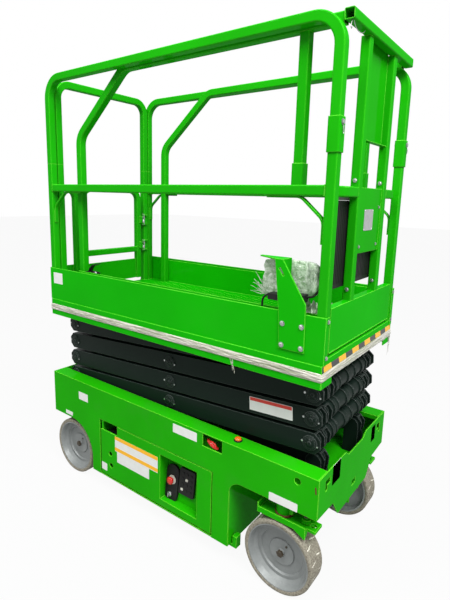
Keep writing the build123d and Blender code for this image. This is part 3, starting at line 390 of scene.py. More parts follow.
# ------------------------------------------------ steering
# A greased castle nut on each of the two pins that join the tie rod to the knuckles' steering arms;
# the pins belong to the knuckles and the rod turns on them.
steering_arm = 0.100
for hand, sign in hands:
    shape = bmesh.new()
    turned(shape, (pin_x + steering_arm, sign * pin_y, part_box("tie_rod")[1].z + 0.006), UP,
           stud(0.0125, 0.008, 0.010, 0.010), 6)
    finished(f"knuckle_fasteners_{hand}", shape, [grease], f"knuckle_{hand}")

# ------------------------------------------------ swing-out trays
# Steel trays behind green doors. The right door carries a large sticker in two rows, the lower one
# shorter, and a small one.
door_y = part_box("tray_right")[0].y
shape = bmesh.new()
for from_middle, height, wide, tall, corner, band in (  # white fields, and the yellow bands over them
        (-0.152, 0.3169, 0.322, 0.0873, 0.003, 0), (-0.1746, 0.2429, 0.2447, 0.0607, 0.003, 0),
        (-0.152, 0.3505, 0.322, 0.020, 0.004, 1), (-0.152, 0.287, 0.322, 0.020, 0.002, 1),
        (-0.404, 0.148, 0.044, 0.044, 0.004, 0)):
    slab(shape, (mid_x + from_middle, door_y - band * film_gauge, height), EAST, UP, wide, tall,
         film_gauge / (1 + band), corner, band)
finished("tray_labels", shape, [white_vinyl, yellow_vinyl], "tray_right")

# Moulded black housings in the recess: a long one with the stop button and key, a square keypad.
black = mottled("black plastic", (5, 3), (0.006, 0.006, 0.006), (0.018, 0.018, 0.018),
                ((500, 2), 0.0002, 0.4), roughness=0.5, shine=0.15).material
red = mottled("red plastic", (30, 2), (0.46, 0.012, 0.008), (0.58, 0.020, 0.012), roughness=0.3,
              coat=0.3).material
pale = mottled("pale plastic", (40, 2), (0.50, 0.49, 0.42), (0.66, 0.65, 0.58), roughness=0.45).material
coat(black, "battery_pack", "power_unit")
shape = bmesh.new()
board_up = Vector((0, 0.129, 0.9916))  # the board leans back towards its top
board_out = EAST.cross(board_up)
board_foot = Vector((mid_x, -0.338, 0.135))


def on_board(along, height, off=0.0):
    return board_foot + EAST * along + board_up * height + board_out * off


slab(shape, on_board(0.143, 0.100, -0.012), EAST, board_up, 0.236, 0.215, 0.010, 0.003, 1)
slab(shape, on_board(0.067, 0.088), EAST, board_up, 0.078, 0.190, 0.012, 0.034, 0)
slab(shape, on_board(0.161, 0.124), EAST, board_up, 0.096, 0.132, 0.013, 0.008, 0)
for column in range(3):  # keys, a few of them pale
    for row in range(4):
        at = on_board(0.135 + 0.026 * column, 0.084 + 0.027 * row, 0.013)
        slab(shape, at, EAST, board_up, 0.015, 0.012, 0.002, 0.003, 2 if (column + 2 * row) % 5 == 0 else 0)
turned(shape, on_board(0.062, 0.030, 0.012), board_out, stud(0.013, 0.006, 0.009, 0.009), 24, 3)
slab(shape, on_board(0.062, 0.030, 0.020), EAST, board_up, 0.005, 0.022, 0.008, 0.002, 3)
panel = finished("ground_control_panel", shape, [black, body_green, pale, zinc.material], "tray_right")
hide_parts("lower_controls")
shape = bmesh.new()
middle = on_board(0.068, 0.106, 0.010)
turned(shape, middle, board_out, stud(0.0225, 0.003, 0.018, 0.004), 32, 1)
turned(shape, middle, board_out, [(0, 0.003), (0.009, 0.003), (0.009, 0.013), (0.018, 0.015), (0.0195, 0.021),
                                  (0.016, 0.026), (0.008, 0.028), (0, 0.029)], 32)
knob = finished("stop_mushroom", shape, [red, pale], "tray_right", 50)
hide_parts("stop_button")

# ------------------------------------------------ lowering pull and beacon
# A red moulded grip on a rod through its bracket, in the opening under the right flange; an amber
# lamp on a black foot stands on the flange.
pull_low, pull_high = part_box("lowering_pull")
grip_x = (pull_low.x + pull_high.x) / 2


def wire(shape, points, radius, steps=8, paint=0, closed=False):
    """Adds a round wire along a list of points; radius is a number or one for each point."""
    points = [Vector(p) for p in points]
    count = len(points)
    radii = radius if isinstance(radius, list) else [radius] * count
    rings, side = [], None
    for k, point in enumerate(points):
        after = points[(k + 1) % count] if closed or k + 1 < count else point
        before = points[k - 1] if closed or k else point
        along = (after - before).normalized()
        side = (side or along.orthogonal()) - along * along.dot(side or along.orthogonal())
        side.normalize()
        other = along.cross(side)
        rings.append([shape.verts.new(point + (side * math.cos(a) + other * math.sin(a)) * radii[k])
                      for a in (2 * math.pi * n / steps for n in range(steps))])
    pairs = list(zip(rings, rings[1:])) + ([(rings[-1], rings[0])] if closed else [])
    for low, high in pairs:
        for n in range(steps):
            shape.faces.new((low[n - 1], low[n], high[n], high[n - 1])).material_index = paint
    if not closed:
        shape.faces.new(rings[0]).material_index = paint
        shape.faces.new(rings[-1][::-1]).material_index = paint


shape = bmesh.new()
rod(shape, (grip_x, pull_high.y - 0.004, 0.546), (grip_x, pull_low.y + 0.014, 0.546), 0.005, 16, 1)
slab(shape, (grip_x, pull_high.y - 0.006, 0.505), EAST, UP, 0.080, 0.150, 0.004, 0.004, 2)
bent = [(-0.039, 0.010, 0.556), (-0.030, 0.005, 0.554), (-0.012, 0.001, 0.548), (0.006, 0, 0.541),
        (0.022, 0.003, 0.534), (0.030, 0.008, 0.530)]
wire(shape, [(grip_x - 0.006 + x * 0.85, pull_low.y + 0.012 + y, z) for x, y, z in bent],
     [0.006, 0.0085, 0.0095, 0.0095, 0.0085, 0.006], 16)
hook = [(-0.020, 0.552), (-0.008, 0.560), (0.010, 0.552), (0.014, 0.541)]
wire(shape, [(grip_x + x, pull_low.y + 0.010, z) for x, z in hook], 0.005, 12)
pull = finished("lowering_grip", shape, [red, zinc.material, body_green], "chassis", 50)
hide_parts("lowering_pull")
amber = mottled("amber lens", (90, 1), (0.62, 0.075, 0.004), (0.85, 0.17, 0.01), roughness=0.2,
                coat=0.5).material
lamp_low, lamp_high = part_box("beacon_lamp")
lamp = (lamp_low + lamp_high) / 2
lamp_foot = (lamp.x, lamp.y, lamp_low.z)
shape = bmesh.new()
turned(shape, lamp_foot, UP, stud(0.019, 0.004, 0.0165, 0.006), 32, 1)
turned(shape, lamp_foot, UP, [(0, 0.005), (0.0155, 0.005), (0.0155, 0.010), (0.013, 0.0135), (0.008, 0.0155),
                              (0, 0.016)], 32)
beacon = finished("beacon_lens", shape, [amber, black], "chassis", 50)
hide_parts("beacon_lamp")

# ------------------------------------------------ scissor arms
# Rectangular tube with welded bosses, thick satin charcoal enamel, scuffed along the corners and with a
# painted highlight there; each pin is held by a round cap between two bright bolts.
charcoal = Finish("charcoal enamel", roughness=0.38, coat=0.03, shine=0.06)
soft = charcoal.rounded(0.004)
# Scuffs and a painted highlight: a paler grey blended in along the corners.
scuffs_and_edge_highlight = charcoal.steps(charcoal.rim(soft) * (charcoal.noise(30, 3) + 0.6), (0.02, 0), (0.18, 1))
tone = charcoal.blend(charcoal.noise(3, 5), (0.0045, 0.011, 0.0080), (0.0085, 0.017, 0.0125))
charcoal.feed(Base_Color=charcoal.blend(scuffs_and_edge_highlight * 0.75, tone, (0.13, 0.15, 0.14)),
              Roughness=charcoal.noise(9, 4) * 0.25 + 0.32)
charcoal.relief(charcoal.noise(260, 2), 0.00015, 0.3, soft)
coat(charcoal.material, *[f"{row}_arms_{k}" for row in ("inner", "outer") for k in range(1, 5)],
     "roller_tracks", "scissor_ears", "cylinder_lugs", "cylinder_barrel")
ears_low, ears_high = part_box("scissor_ears")
pivot_x = (ears_low.x + ears_high.x) / 2
pivot_z = ears_high.z - 0.035  # the ears end 35 mm above their pin
arm_low, arm_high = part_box("outer_arms_1")
arm_length = 1.540
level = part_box("outer_arms_2")[0].z - arm_low.z
lean = math.asin(level / arm_length)
arm_axis = Vector((math.cos(lean), 0, math.sin(lean)))
arm_up = Vector((-math.sin(lean), 0, math.cos(lean)))
foot_x = pivot_x - arm_length * math.cos(lean)
cap_y = arm_high.y
for k in range(1, 5):
    foot = Vector((foot_x, 0, pivot_z + (k - 1) * level))
    shape = bmesh.new()
    for sign in (-1, 1):
        for share in ((0, 0.5, 1) if k < 4 else (0, 0.5)):
            at = foot + arm_axis * (arm_length * share)
            at.y = sign * (cap_y - 0.0005)
            out = (0, sign, 0)
            turned(shape, at, out, [(0, 0), (0.026, 0), (0.025, 0.0010), (0, 0.0010)], 32, 1)
            turned(shape, at, out, [(0.0, 0.001), (0.020, 0.001), (0.019, 0.0016), (0.008, 0.0016),
                                    (0.007, 0.0034), (0, 0.0034)], 32, 1)
            for along, rise, r in ((-0.033, 0.002, 0.0046), (0.034, -0.006, 0.0036)):
                turned(shape, at + Vector((along, 0, rise)), out,
                       [(0, -0.0045), (r, -0.0045), (r, 0.0010), (0, 0.0018)], 10)
    finished(f"pin_bolts_{k}", shape, [zinc.material, charcoal.material], f"outer_{k}")

# Split collars clamped on the front cross tubes, with the hose clips between them.
cross_radius = 0.037
for k in range(2, 5):
    tube_z = pivot_z + (k - 1) * level
    shape = bmesh.new()
    for y, wide, rise in ((-0.150, 0.020, 0.007), (-0.105, 0.010, 0.004), (-0.020, 0.034, 0.006),
                          (0.060, 0.012, 0.005), (0.140, 0.022, 0.007)):
        outer = cross_radius + rise
        turned(shape, (pivot_x, y, tube_z), NORTH,
               [(0, 0), (outer - 0.002, 0), (outer, 0.002), (outer, wide - 0.002), (outer - 0.002, wide),
                (0, wide)], 40)
        bolt(shape, (pivot_x + 0.030, y + wide / 2, tube_z + cross_radius * 0.62), (0.62, 0, 0.78), 0.010)
    finished(f"tube_collars_{k}", shape, [charcoal.material], f"inner_{k}")

# Blank two-colour sticker on the second right outer arm.
red_vinyl = vinyl("red vinyl", (0.52, 0.03, 0.02), (0.62, 0.05, 0.03))
shape = bmesh.new()
sticker_at = Vector((foot_x, -(cap_y - 0.005), pivot_z + level)) + arm_axis * 1.351
slab(shape, sticker_at, arm_axis, arm_up, 0.210, 0.060, film_gauge, 0.003, 0)
slab(shape, sticker_at + arm_up * 0.021 - NORTH * film_gauge, arm_axis, arm_up, 0.204, 0.015,
     film_gauge / 2, 0.002, 1)
finished("arm_label", shape, [white_vinyl, red_vinyl], "outer_2")

# ------------------------------------------------ lift cylinder rod
# Ground and hard-chromed bar with fine draw marks. Its eye is pinned to the lowest inner arms, and
# the barrel that it slides in is coated like them.
chrome = mottled("chromed rod", (50, 3), (0.62, 0.63, 0.65), (0.76, 0.77, 0.79), metallic=1.0, roughness=0.12)
chrome.feed(Roughness=chrome.noise(60, 4) * 0.12 + 0.06)
coat(chrome.material, "cylinder_rod")

# ------------------------------------------------ platform deck
# Channel frame with toe boards of folded sheet along the sides, in a slightly fresher green, and
# a black and yellow tape across the front beam.
deck_green = enamel("deck enamel", (0.006, 0.420, 0.002), (0.20, 0.90, 0.06), 0.1)
coat(deck_green, "toe_boards", "platform_deck", "control_bracket", "extension_deck")
deck_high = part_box("platform_deck")[1]
tape_z, tape_width = 1.0300, 0.0245
block_length = 0.0692
shape = bmesh.new()
for k in range(11):
    slab(shape, (deck_high.x, -0.344 + block_length * k, tape_z), NORTH, UP, block_length, tape_width, 0.0005,
         0.0008, k % 2, 0.45)
slab(shape, (deck_high.x, -0.385, tape_z), NORTH, UP, 0.012, tape_width, 0.0005, 0.0008, 1, 0.2)
finished("hazard_tape", shape, [yellow_vinyl, black_vinyl], "platform")
toe_low, toe_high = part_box("toe_boards")
shape = bmesh.new()
slab(shape, (mid_x - 0.764, toe_low.y, 1.167), EAST, UP, 0.082, 0.062, film_gauge)
finished("toe_board_label", shape, [white_vinyl], "platform")
shape = bmesh.new()
bracket_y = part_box("control_bracket")[0].y
for x, z in ((0.675, 1.176), (0.755, 1.176), (0.675, 1.093), (0.757, 1.094)):
    bolt(shape, (mid_x + x, bracket_y + 0.0008, z), -NORTH, 0.0155)
for sign in (-1, 1):
    for z in (1.072, 1.208):
        bolt(shape, (toe_high.x - 0.0002, sign * 0.372, z), EAST, 0.0125)
finished("platform_fasteners", shape, [zinc.material], "platform")

# ------------------------------------------------ edge strip
# Foam strip under stretch film, taped round the deck's frame to guard its corners on the road; the
# film is drawn tight in slanting folds, and its torn ends hang free.
film = Finish("stretch film", roughness=0.25, coat=0.5)
pulled = film.node("Mapping", {}, {"Vector": film.place, "Rotation": (0.22, 0.24, 0.0),
                                   "Scale": (6.0, 6.0, 230.0)})
layers = film.noise(1.0, 5, 0.6, pulled)
lines = film.steps(layers, (0.40, 0), (0.56, 1))
milky = film.blend(film.noise(7, 4), (0.46, 0.45, 0.38), (0.70, 0.68, 0.60))
film.feed(Base_Color=film.blend(lines, (0.22, 0.25, 0.15), milky))
film.relief(layers, 0.0016, 0.9)
strip_low, strip_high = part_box("edge_strip")
strip_depth = strip_high.y - deck_high.y
bend = 0.006  # radius of the film round the frame's corners
track = []  # a point on the deck's face and the way out from it
reach = deck_high.x - bend
side_steps, corner_steps, front_steps = 430, 8, 200
for k in range(side_steps + 1):
    track.append(((strip_low.x + (reach - strip_low.x) * k / side_steps, -deck_high.y), (0, -1)))
for k in range(1, corner_steps):
    turn = math.radians(-90 + 90 * k / corner_steps)
    way = (math.cos(turn), math.sin(turn))
    track.append(((reach + bend * way[0], bend - deck_high.y + bend * way[1]), way))
for k in range(front_steps + 1):
    track.append(((deck_high.x, (deck_high.y - bend) * (k / (front_steps / 2) - 1)), (1, 0)))
track += [((x, -y), (out_x, -out_y)) for (x, y), (out_x, out_y) in track[side_steps + corner_steps - 1::-1]]
shape = bmesh.new()
rings = []
run = 0.0
rows = 12
for k, ((x, y), (out_x, out_y)) in enumerate(track):
    if k:
        run += math.dist((x, y), track[k - 1][0])
    ring = []
    for row in range(rows + 1):
        rise = (strip_high.z - strip_low.z) * row / rows
        crease = min(1, 6 * abs(noise.noise(Vector((run * 9 + rise * 20, rise * 70 + run * 5, 3.1)))))
        crease *= min(1, 7 * abs(noise.noise(Vector((run * 5 - rise * 12, rise * 95 + run * 9, 9.7)))))
        tuck = math.sin(math.pi * (row / rows) ** 0.9) ** 0.35 if 0 < row < rows else 0
        away = 0.0006 + (strip_depth - 0.0008) * tuck * (0.45 + 0.55 * crease)
        ring.append(shape.verts.new((x + out_x * away, y + out_y * away, strip_low.z + rise)))
    ring += [shape.verts.new((x + out_x * 0.0004, y + out_y * 0.0004, z))
             for z in (strip_high.z - 0.002, strip_low.z + 0.002)]
    rings.append(ring)
for before, after in zip(rings, rings[1:]):
    for n in range(len(before)):
        shape.faces.new((before[n - 1], before[n], after[n], after[n - 1]))
shape.faces.new(rings[0])
shape.faces.new(rings[-1])
wrap = finished("edge_film", shape, [film.material], "platform", 60)
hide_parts("edge_strip")


def ribbon(shape, top, sway, broad, width, curl):
    """Adds one torn ribbon of film that hangs or springs from a point and narrows to its end."""
    pairs = []
    back = sway.normalized().cross(broad) * -film_gauge
    for n in range(9):
        share = n / 8
        centre = Vector(top) + sway * share + broad * 0.004 * math.sin(curl + 5 * share)
        half = broad * width / 2 * (1 - 0.8 * share)
        corners = (centre - half, centre + half, centre + half + back, centre - half + back)
        pairs.append([shape.verts.new(p) for p in corners])
    for before, after in zip(pairs, pairs[1:]):
        for n in range(4):
            shape.faces.new((before[n - 1], before[n], after[n], after[n - 1]))
    shape.faces.new(pairs[0])
    shape.faces.new(pairs[-1])


rng = random.Random(4)
shape = bmesh.new()
for k in range(6):  # the torn end at the left front corner
    top = (deck_high.x + 0.003, 0.380 + rng.uniform(-0.015, 0.008), strip_low.z + rng.uniform(0.004, 0.014))
    sway = Vector((0, rng.uniform(-0.006, 0.008), -rng.uniform(0.05, 0.10)))
    ribbon(shape, top, sway, NORTH, rng.uniform(0.002, 0.006), rng.uniform(0, 6))
for k in range(3):  # a tear half-way along the right side
    top = (mid_x + 0.436 + 0.005 * k, -deck_high.y - 0.0005, strip_low.z + 0.010)
    sway = Vector((rng.uniform(0.010, 0.034), 0, -rng.uniform(0.05, 0.085)))
    ribbon(shape, top, sway, EAST, rng.uniform(0.003, 0.005), rng.uniform(0, 6))
finished("film_shreds", shape, [film.material], "platform")

# ------------------------------------------------ guard rails
# Square steel tube, bent and welded, in the same wet green enamel; the upper loops stand in
# sleeves and fold down once their latch bolts are drawn.
rail_green = enamel("rail enamel", (0.010, 0.375, 0.003), (0.15, 0.72, 0.05), 0.06, 0.28)
coat(rail_green, "lower_rails", "upper_rails", "rear_frame", "rear_upper_rail", "entry_gate",
     "extension_rails", "front_frame")
rail_tube = 0.038
side_rail_y = 0.365
front_post_x = deck_high.x - 0.020
latch_z = 1.890
shape = bmesh.new()
for sign in (-1, 1):
    bolt(shape, (front_post_x + 0.0228, sign * (side_rail_y + 0.004), latch_z), EAST, 0.016)
    bolt(shape, (front_post_x - 0.0228, sign * side_rail_y, latch_z), -EAST, 0.013)
    loop = [(sign * (side_rail_y + 0.004 + 0.004 * math.sin(a)), 1.878 - 0.013 + 0.013 * math.cos(a))
            for a in (0.3 * n for n in range(21))]
    wire(shape, [(front_post_x + 0.0285, y, z) for y, z in loop], 0.0011, 6)
finished("upper_rail_latches", shape, [zinc.material], "platform")


def bead(shape, middle, half_width, upright=True, thick=0.0022):
    """Adds the weld round a square tube where it meets a flat face."""
    corners = [(1, 1), (-1, 1), (-1, -1), (1, -1)]
    points = []
    for (ax, ay), (bx, by) in zip(corners, corners[1:] + corners[:1]):
        for n in range(7):
            s = n / 7
            u, v = (ax + (bx - ax) * s) * half_width, (ay + (by - ay) * s) * half_width
            points.append(Vector(middle) + Vector((u, v, 0) if upright else (0, u, v)))
    wire(shape, points, [thick * (0.85 + 0.3 * (n % 2)) for n in range(len(points))], 6, 0, True)


shape = bmesh.new()
half = rail_tube / 2 + 0.0006
rail_rear_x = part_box("upper_rails")[0].x + rail_tube / 2
second_y = 0.322
for sign in (-1, 1):
    for x in (rail_rear_x, front_post_x):
        bead(shape, (x, sign * side_rail_y, deck_high.z + 0.001), half)
    bead(shape, (rail_rear_x, sign * second_y, deck_high.z + 0.001), half)
    for x in (rail_rear_x + half, front_post_x - half):
        bead(shape, (x, sign * side_rail_y, 1.667), half, False, 0.0018)
finished("rail_welds", shape, [rail_green], "platform")

# Gate hinges: bright turned barrels on a pin between welded leaves.
gate_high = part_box("entry_gate")[1]
barrel_x, barrel_y = gate_high.x - 0.008, gate_high.y - 0.008
hinge_heights = (1.310, 1.480)
shape = bmesh.new()
for middle in hinge_heights:
    turned(shape, (barrel_x, barrel_y, middle - 0.036), UP,
           [(0, 0), (0.006, 0), (0.0085, 0.003), (0.0085, 0.011), (0, 0.011)])
    turned(shape, (barrel_x, barrel_y, middle + 0.025), UP, stud(0.0085, 0.008, 0.006, 0.011))
finished("gate_hinge_pins", shape, [zinc.material], "platform")
shape = bmesh.new()
for middle in hinge_heights:
    turned(shape, (barrel_x, barrel_y, middle - 0.0215), UP,
           [(0, 0), (0.0088, 0), (0.0088, 0.0205), (0.0083, 0.0213), (0.0088, 0.0221), (0.0088, 0.043),
            (0, 0.043)], 24)
finished("gate_hinge_barrels", shape, [zinc.material], "gate")

# ------------------------------------------------ sliding extension
# Its floor is tread plate; a folded front panel, the frame between its two square posts and the
# side rails all roll out together over the fixed deck.
extension_low, extension_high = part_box("extension_deck")
frame_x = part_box("front_frame")[1].x - 0.010
floor_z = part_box("extension_rails")[0].z
shape = bmesh.new()
pitch = 0.030
for column in range(44):  # raised bars of the tread plate, turned by quarters
    for row in range(20):
        x = extension_low.x + 0.030 + pitch * column
        y = -0.290 + pitch * row + (pitch / 2 if column % 2 else 0)
        if abs(y) > 0.30:
            continue
        way = 1 if (column + row) % 2 else -1
        along, across = Vector((1, way, 0)).normalized(), Vector((-way, 1, 0)).normalized()
        base, crest = [[shape.verts.new(Vector((x, y, floor_z + rise)) + along * u * long + across * v * wide)
                        for u, v in ((1, 0), (0, 1), (-1, 0), (0, -1))]
                       for rise, long, wide in ((0, 0.0115, 0.0030), (0.0011, 0.008, 0.0014))]
        shape.faces.new(crest)
        shape.faces.new(base[::-1])
        for n in range(4):
            shape.faces.new((base[n - 1], base[n], crest[n], crest[n - 1]))
finished("tread_bars", shape, [deck_green], "extension", 20)
shape = bmesh.new()
panel_x = extension_high.x
post_y, half_post = 0.142, 0.018
for height in (1.293, 1.710):
    for y in (-post_y, post_y):
        bolt(shape, (frame_x - half_post, y - half_post, height), -NORTH, 0.0125)
for y, height in ((0.100, 1.611), (0.095, 1.457), (-0.100, 1.457)):
    bolt(shape, (panel_x - 0.008, y, height), EAST, 0.0105)
finished("extension_fasteners", shape, [zinc.material], "extension")
shape = bmesh.new()
wire(shape, [(panel_x - 0.0012, y, extension_low.z + 0.0150) for y in (-0.338, -0.1, 0.1, 0.338)], 0.0030)
finished("panel_lip", shape, [deck_green], "extension")
bare_plate = mottled("blank aluminium plate", (80, 4), (0.30, 0.31, 0.31), (0.52, 0.53, 0.53), metallic=0.75,
                     roughness=0.4).material
shape = bmesh.new()
slab(shape, (panel_x - 0.008, -0.012, 1.560), NORTH, UP, 0.100, 0.084, 0.0012, 0.004)
for y, z in ((-0.056, 1.597), (0.032, 1.597), (-0.056, 1.523), (0.032, 1.523)):
    turned(shape, (panel_x - 0.0068, y, z), EAST, [(0, 0), (0.0028, 0), (0.002, 0.0012), (0, 0.0014)], 10)
finished("blank_plate", shape, [bare_plate], "extension")

# Lock pin of the folding top, with its thin wire ring, at the crossbar's right end.
shape = bmesh.new()
ring_middle = Vector((frame_x, -0.268, 2.219))
wire(shape, [ring_middle + Vector((0, 0.052 * math.cos(a), 0.027 * math.sin(a)))
             for a in (0.26 * n for n in range(24))], 0.0012, 6, 0, True)
wire(shape, [Vector((frame_x, y, z)) for y, z in
             ((-0.320, 2.222), (-0.331, 2.212), (-0.339, 2.200), (-0.343, 2.190), (-0.337, 2.184),
              (-0.331, 2.190))], 0.0014, 6)
finished("lock_pin", shape, [zinc.material], "extension")

# ------------------------------------------------ platform controls
# The control box travels in a bag of crinkled clear film behind its bracket; its two leads end in
# pale connectors, and loose film lies on the floor below.
bag_low, bag_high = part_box("control_box")
haze = Finish("crinkled bag", roughness=0.3, coat=0.3)
grey = haze.steps(haze.noise(42, 6, 0.8), (0.40, 0), (0.60, 1))
# The near-white specks are painted highlights on the crinkles; the torn and the loose film share them.
painted_glint = haze.steps(haze.noise(95, 5, 0.85), (0.57, 0), (0.62, 1))
haze.feed(Base_Color=haze.blend(painted_glint, haze.blend(grey, (0.20, 0.34, 0.17), (0.66, 0.78, 0.62)),
                                (0.95, 0.98, 0.95)))
haze.relief(haze.noise(110, 6, 0.75), 0.002, 0.7)
shape = bmesh.new()
bmesh.ops.create_cube(shape, size=1.0)
bmesh.ops.subdivide_edges(shape, edges=shape.edges[:], cuts=23, use_grid_fill=True)
middle, size = (bag_low + bag_high) / 2, bag_high - bag_low
for vert in shape.verts:
    place = Vector((vert.co.x * size.x, vert.co.y * size.y, vert.co.z * size.z))
    rounding = 1 - 0.10 * (max(0, abs(vert.co.x) * 2 - 0.6) * max(0, abs(vert.co.z) * 2 - 0.6)) / 0.16
    crinkle = noise.noise(place * 14) * 0.6 + noise.noise(place * 48 + Vector((4, 1, 7))) * 0.4
    crease = 1 - min(1, 6 * abs(noise.noise(place * 13 + Vector((1, 8, 3)))))
    shrink = rounding - 0.02 - 0.06 * abs(crinkle) - 0.045 * crease
    slope = 1 - 0.22 * (vert.co.y + 0.5) if vert.co.z > 0 else 1
    vert.co = middle + Vector((place.x * shrink, place.y * min(1, shrink + 0.03), place.z * shrink * slope))
bag = finished("controls_in_film", shape, [haze.material], "platform", 180)
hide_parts("control_box")
coat(black, "control_leads")
rng = random.Random(11)
shape = bmesh.new()
for k in range(18):  # the bag's torn edge, fanned out beside the lead
    climb = math.radians(rng.uniform(0, 62))
    reach = rng.uniform(0.045, 0.095)
    sway = Vector((-math.cos(climb), rng.uniform(-0.25, 0.35), math.sin(climb))) * reach
    top = (bag_low.x + 0.012, -0.300 + rng.uniform(-0.012, 0.012), 1.262 + rng.uniform(-0.006, 0.012))
    ribbon(shape, top, sway, Vector((math.sin(climb), 0, math.cos(climb))), rng.uniform(0.005, 0.012),
           rng.uniform(0, 6))
finished("torn_film", shape, [haze.material], "platform")
shape = bmesh.new()
lead_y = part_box("control_leads")[1].y
for x0, x1, z0, z1 in ((0.604, 0.650, 1.258, 1.282), (0.722, 0.752, 1.264, 1.292)):
    slab(shape, (mid_x + (x0 + x1) / 2, lead_y - 0.0005, (z0 + z1) / 2), EAST, UP, (x1 - x0) * 0.7,
         (z1 - z0) * 0.8, 0.0007, 0.003)
finished("connector_faces", shape, [pale], "platform")


def crumpled(name, corner, wide, deep, height, seed):
    """Lays a loose sheet of film on the extension's floor, in crumpled peaks."""
    shape = bmesh.new()
    count = 44
    lattice = []
    for n in range(count + 1):
        line = []
        for m in range(count + 1):
            u, v = n / count, m / count
            flat = Vector(corner) + EAST * wide * u + NORTH * deep * v
            spot = Vector((u * 5, v * 5, seed))
            peak = (abs(noise.noise(spot)) * 0.8 + abs(noise.noise(spot * 2.6)) * 0.45
                    + abs(noise.noise(spot * 6)) * 0.22)
            fade = min(1, 5 * u * (1 - u) + 0.25) * min(1, 5 * v * (1 - v) + 0.25)
            flat.x += 0.010 * noise.noise(spot * 2 + Vector((9, 0, 0)))
            flat.y += 0.010 * noise.noise(spot * 2 + Vector((0, 9, 0)))
            line.append(shape.verts.new(flat + UP * (height * peak * fade + 0.0008)))
        lattice.append(line)
    for before, after in zip(lattice, lattice[1:]):
        for m in range(count):
            shape.faces.new((before[m], before[m + 1], after[m + 1], after[m]))
    area = sum(face.calc_area() for face in shape.faces)
    stretch = math.sqrt(area / (wide * deep))
    sheet = finished(name, shape, [haze.material], "extension", 180)
    sheet.modifiers.new("gauge", "SOLIDIFY").thickness = film_gauge


crumpled("floor_film", (0.600, -0.300, floor_z + 0.0012), 0.22, 0.22, 0.24, 1.7)
crumpled("far_film", (0.42, -0.02, floor_z + 0.0012), 0.24, 0.22, 0.10, 5.2)

# ------------------------------------------------ manual box
# Moulded black case with upright ribs and a paler lid, bolted between the rail and the panel, for
# the machine's handbook.
case_low, case_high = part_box("manual_box")
case_mid = (case_low + case_high) / 2
wide, deep, tall = case_high.y - case_low.y, case_high.x - case_low.x, case_high.z - case_low.z
shape = bmesh.new()
slab(shape, (case_high.x - 0.0035, case_mid.y, case_mid.z - 0.006), NORTH, UP, wide - 0.004, tall - 0.014,
     -(deep - 0.006), 0.014)
ribs = 24
rib_z, rib_height = case_mid.z - 0.008, tall - 0.050
for k in range(ribs):
    y = case_low.y + 0.020 + (wide - 0.040) * k / (ribs - 1)
    slab(shape, (case_high.x - 0.0040, y, rib_z), NORTH, UP, 0.007, rib_height, 0.0016, 0.003)
for side_y, out in ((case_low.y + 0.0022, -1), (case_high.y - 0.0022, 1)):
    for x in (0.008, 0.019, 0.030):
        slab(shape, (case_low.x + x, side_y, rib_z), EAST * -out, UP, 0.006, rib_height, 0.0020, 0.002)
slab(shape, (case_mid.x, case_mid.y, case_high.z - 0.012), EAST, NORTH, deep, wide, 0.011, 0.008, 1)
lid = mottled("case lid", (20, 3), (0.10, 0.10, 0.10), (0.18, 0.18, 0.18), roughness=0.45).material
case = finished("manual_case", shape, [black, lid], "extension")
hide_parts("manual_box")

# ------------------------------------------------ deck lock pedal
# A folded steel pedal on a pivot pin with its coiled return spring, painted black, between two cheek
# plates inside the extension's right toe board.
pedal_low, pedal_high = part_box("deck_lock_pedal")
pedal_mid_y = (pedal_low.y + pedal_high.y) / 2
shape = bmesh.new()


def on_pedal(along, y, height):
    return Vector((pedal_low.x + along, y, pedal_low.z + height))


for y, thick in ((pedal_low.y + 0.002, -0.004), (pedal_high.y - 0.002, 0.004)):
    slab(shape, on_pedal(0.045, y, 0.018), EAST, UP, 0.086, 0.032, thick, 0.006)
rod(shape, on_pedal(0.060, pedal_low.y + 0.001, 0.022), on_pedal(0.060, pedal_high.y - 0.001, 0.022), 0.006)
coil_radius, coil_pitch = 0.0105, 0.0036
wire(shape, [on_pedal(0.060 + coil_radius * math.cos(a), pedal_low.y + 0.006 + coil_pitch * a / (2 * math.pi),
                      0.022 + coil_radius * math.sin(a)) for a in (0.4 * n for n in range(95))], 0.0016, 6, 1)
pad = [(0.020, 0.030), (0.032, 0.052), (0.052, 0.070), (0.078, 0.078), (0.098, 0.083)]
for (x0, z0), (x1, z1) in zip(pad, pad[1:]):
    run = Vector((x1 - x0, 0, z1 - z0))
    slab(shape, on_pedal((x0 + x1) / 2, pedal_mid_y, (z0 + z1) / 2), run.normalized(), NORTH,
         run.length + 0.004, 0.026, -0.004, 0.001)
rod(shape, on_pedal(0.030, pedal_mid_y, 0.020), on_pedal(0.036, pedal_mid_y, 0.056), 0.005)
pedal = finished("lock_pedal", shape, [black, zinc.material], "extension", 40)
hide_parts("deck_lock_pedal")

# ------------------------------------------------ floor, backdrop and light
# A plain pale floor under the wheels and a plain white room round it, with three soft lamps well
# above the machine.
floor_mesh = bpy.data.meshes.new("floor")
floor_mesh.from_pydata([(-30, -30, 0), (30, -30, 0), (30, 30, 0), (-30, 30, 0)], [], [(0, 1, 2, 3)])
floor = bpy.data.objects.new("floor", floor_mesh)
bpy.context.scene.collection.objects.link(floor)


def plain_white(owner, out_kind, under, glow_kind, rays, share):
    """Builds a floor's or a room's shader, with a plain white glow over it for rays of the given kinds."""
    owner.use_nodes = True
    owner.node_tree.nodes.clear()
    shading = Shading(owner.node_tree)
    seen = 0.0
    for ray in rays:
        kind = shading.node("LightPath", {}, {}, ray)
        seen = shading.node("Math", {"operation": "MAXIMUM"}, {0: kind, 1: seen})
    glow = shading.node(glow_kind, {}, {"Color": (1, 1, 1)})
    mixed = shading.node("MixShader", {}, {0: seen * share, 1: shading.node(under[0], {}, under[1]), 2: glow})
    shading.node(out_kind, {}, {"Surface": mixed})


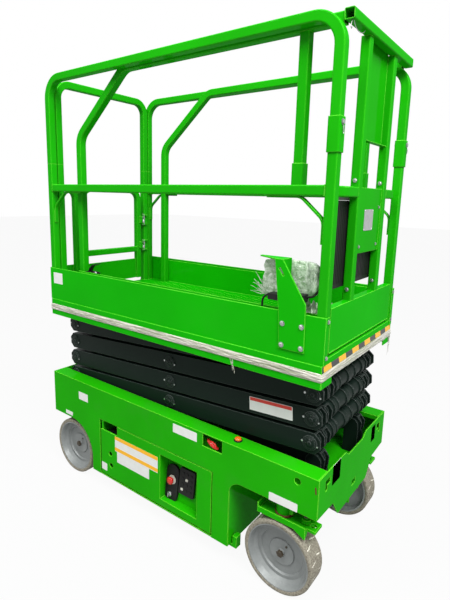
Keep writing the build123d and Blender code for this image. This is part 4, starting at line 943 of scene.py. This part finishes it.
pale_floor = bpy.data.materials.new("pale floor")
plain_white(pale_floor, "OutputMaterial", ("BsdfDiffuse", {"Color": (0.42, 0.42, 0.42)}), "Emission",
            ("Is Camera Ray", "Is Glossy Ray"), 0.94)
floor_mesh.materials.append(pale_floor)
world = bpy.data.worlds.new("studio")
bpy.context.scene.world = world
plain_white(world, "OutputWorld", ("Background", {"Color": (1, 1, 1), "Strength": 0.42}), "Background",
            ("Is Camera Ray", "Is Glossy Ray", "Is Transmission Ray"), 1.0)
aim = Vector((0, 0, 1.0))
for name, place, size, power in (
        ("key", (3.4, -1.7, 5.2), 2.4, 380.0), ("side", (-0.6, -2.9, 5.8), 2.6, 220.0),
        ("top", (0, 0.4, 5.5), 3.5, 40.0)):
    lamp = bpy.data.lights.new(name, "AREA")
    lamp.energy, lamp.size = power, size
    holder = bpy.data.objects.new(name, lamp)
    holder.location = place
    holder.rotation_euler = (aim - Vector(place)).to_track_quat("-Z", "Y").to_euler()
    bpy.context.scene.collection.objects.link(holder)

# ------------------------------------------------ camera
# A standing person's eye near the machine's front right corner, looking a little down and tilted
# by a degree.
yaw, pitch, roll = math.radians(37.237), math.radians(10.352), math.radians(1.364)
ahead = Vector((-math.sin(yaw) * math.cos(pitch), math.cos(yaw) * math.cos(pitch), -math.sin(pitch)))
level_right = ahead.cross(UP).normalized()
level_up = level_right.cross(ahead)
right = level_right * math.cos(roll) + level_up * math.sin(roll)
up = level_up * math.cos(roll) - level_right * math.sin(roll)
view_width, view_height = 450, 600
focal_length = 458.624  # in the same units as the view's width and height
axis_across, axis_down = 216.862, 281.802  # where the lens's axis meets the view
eye = bpy.data.cameras.new("eye")
eye.sensor_fit = "VERTICAL"
eye.sensor_height = 36.0
eye.lens = focal_length / view_height * eye.sensor_height
eye.shift_x = (view_width / 2 - axis_across) / view_height
eye.shift_y = (axis_down - view_height / 2) / view_height
eye.clip_end = 100
camera = bpy.data.objects.new("camera", eye)
camera.matrix_world = Matrix((
    (right.x, up.x, -ahead.x, mid_x + 1.4855),
    (right.y, up.y, -ahead.y, -1.872),
    (right.z, up.z, -ahead.z, 1.633),
    (0, 0, 0, 1)))
bpy.context.scene.collection.objects.link(camera)
bpy.context.scene.camera = camera
bpy.context.scene.view_settings.view_transform = "Standard"
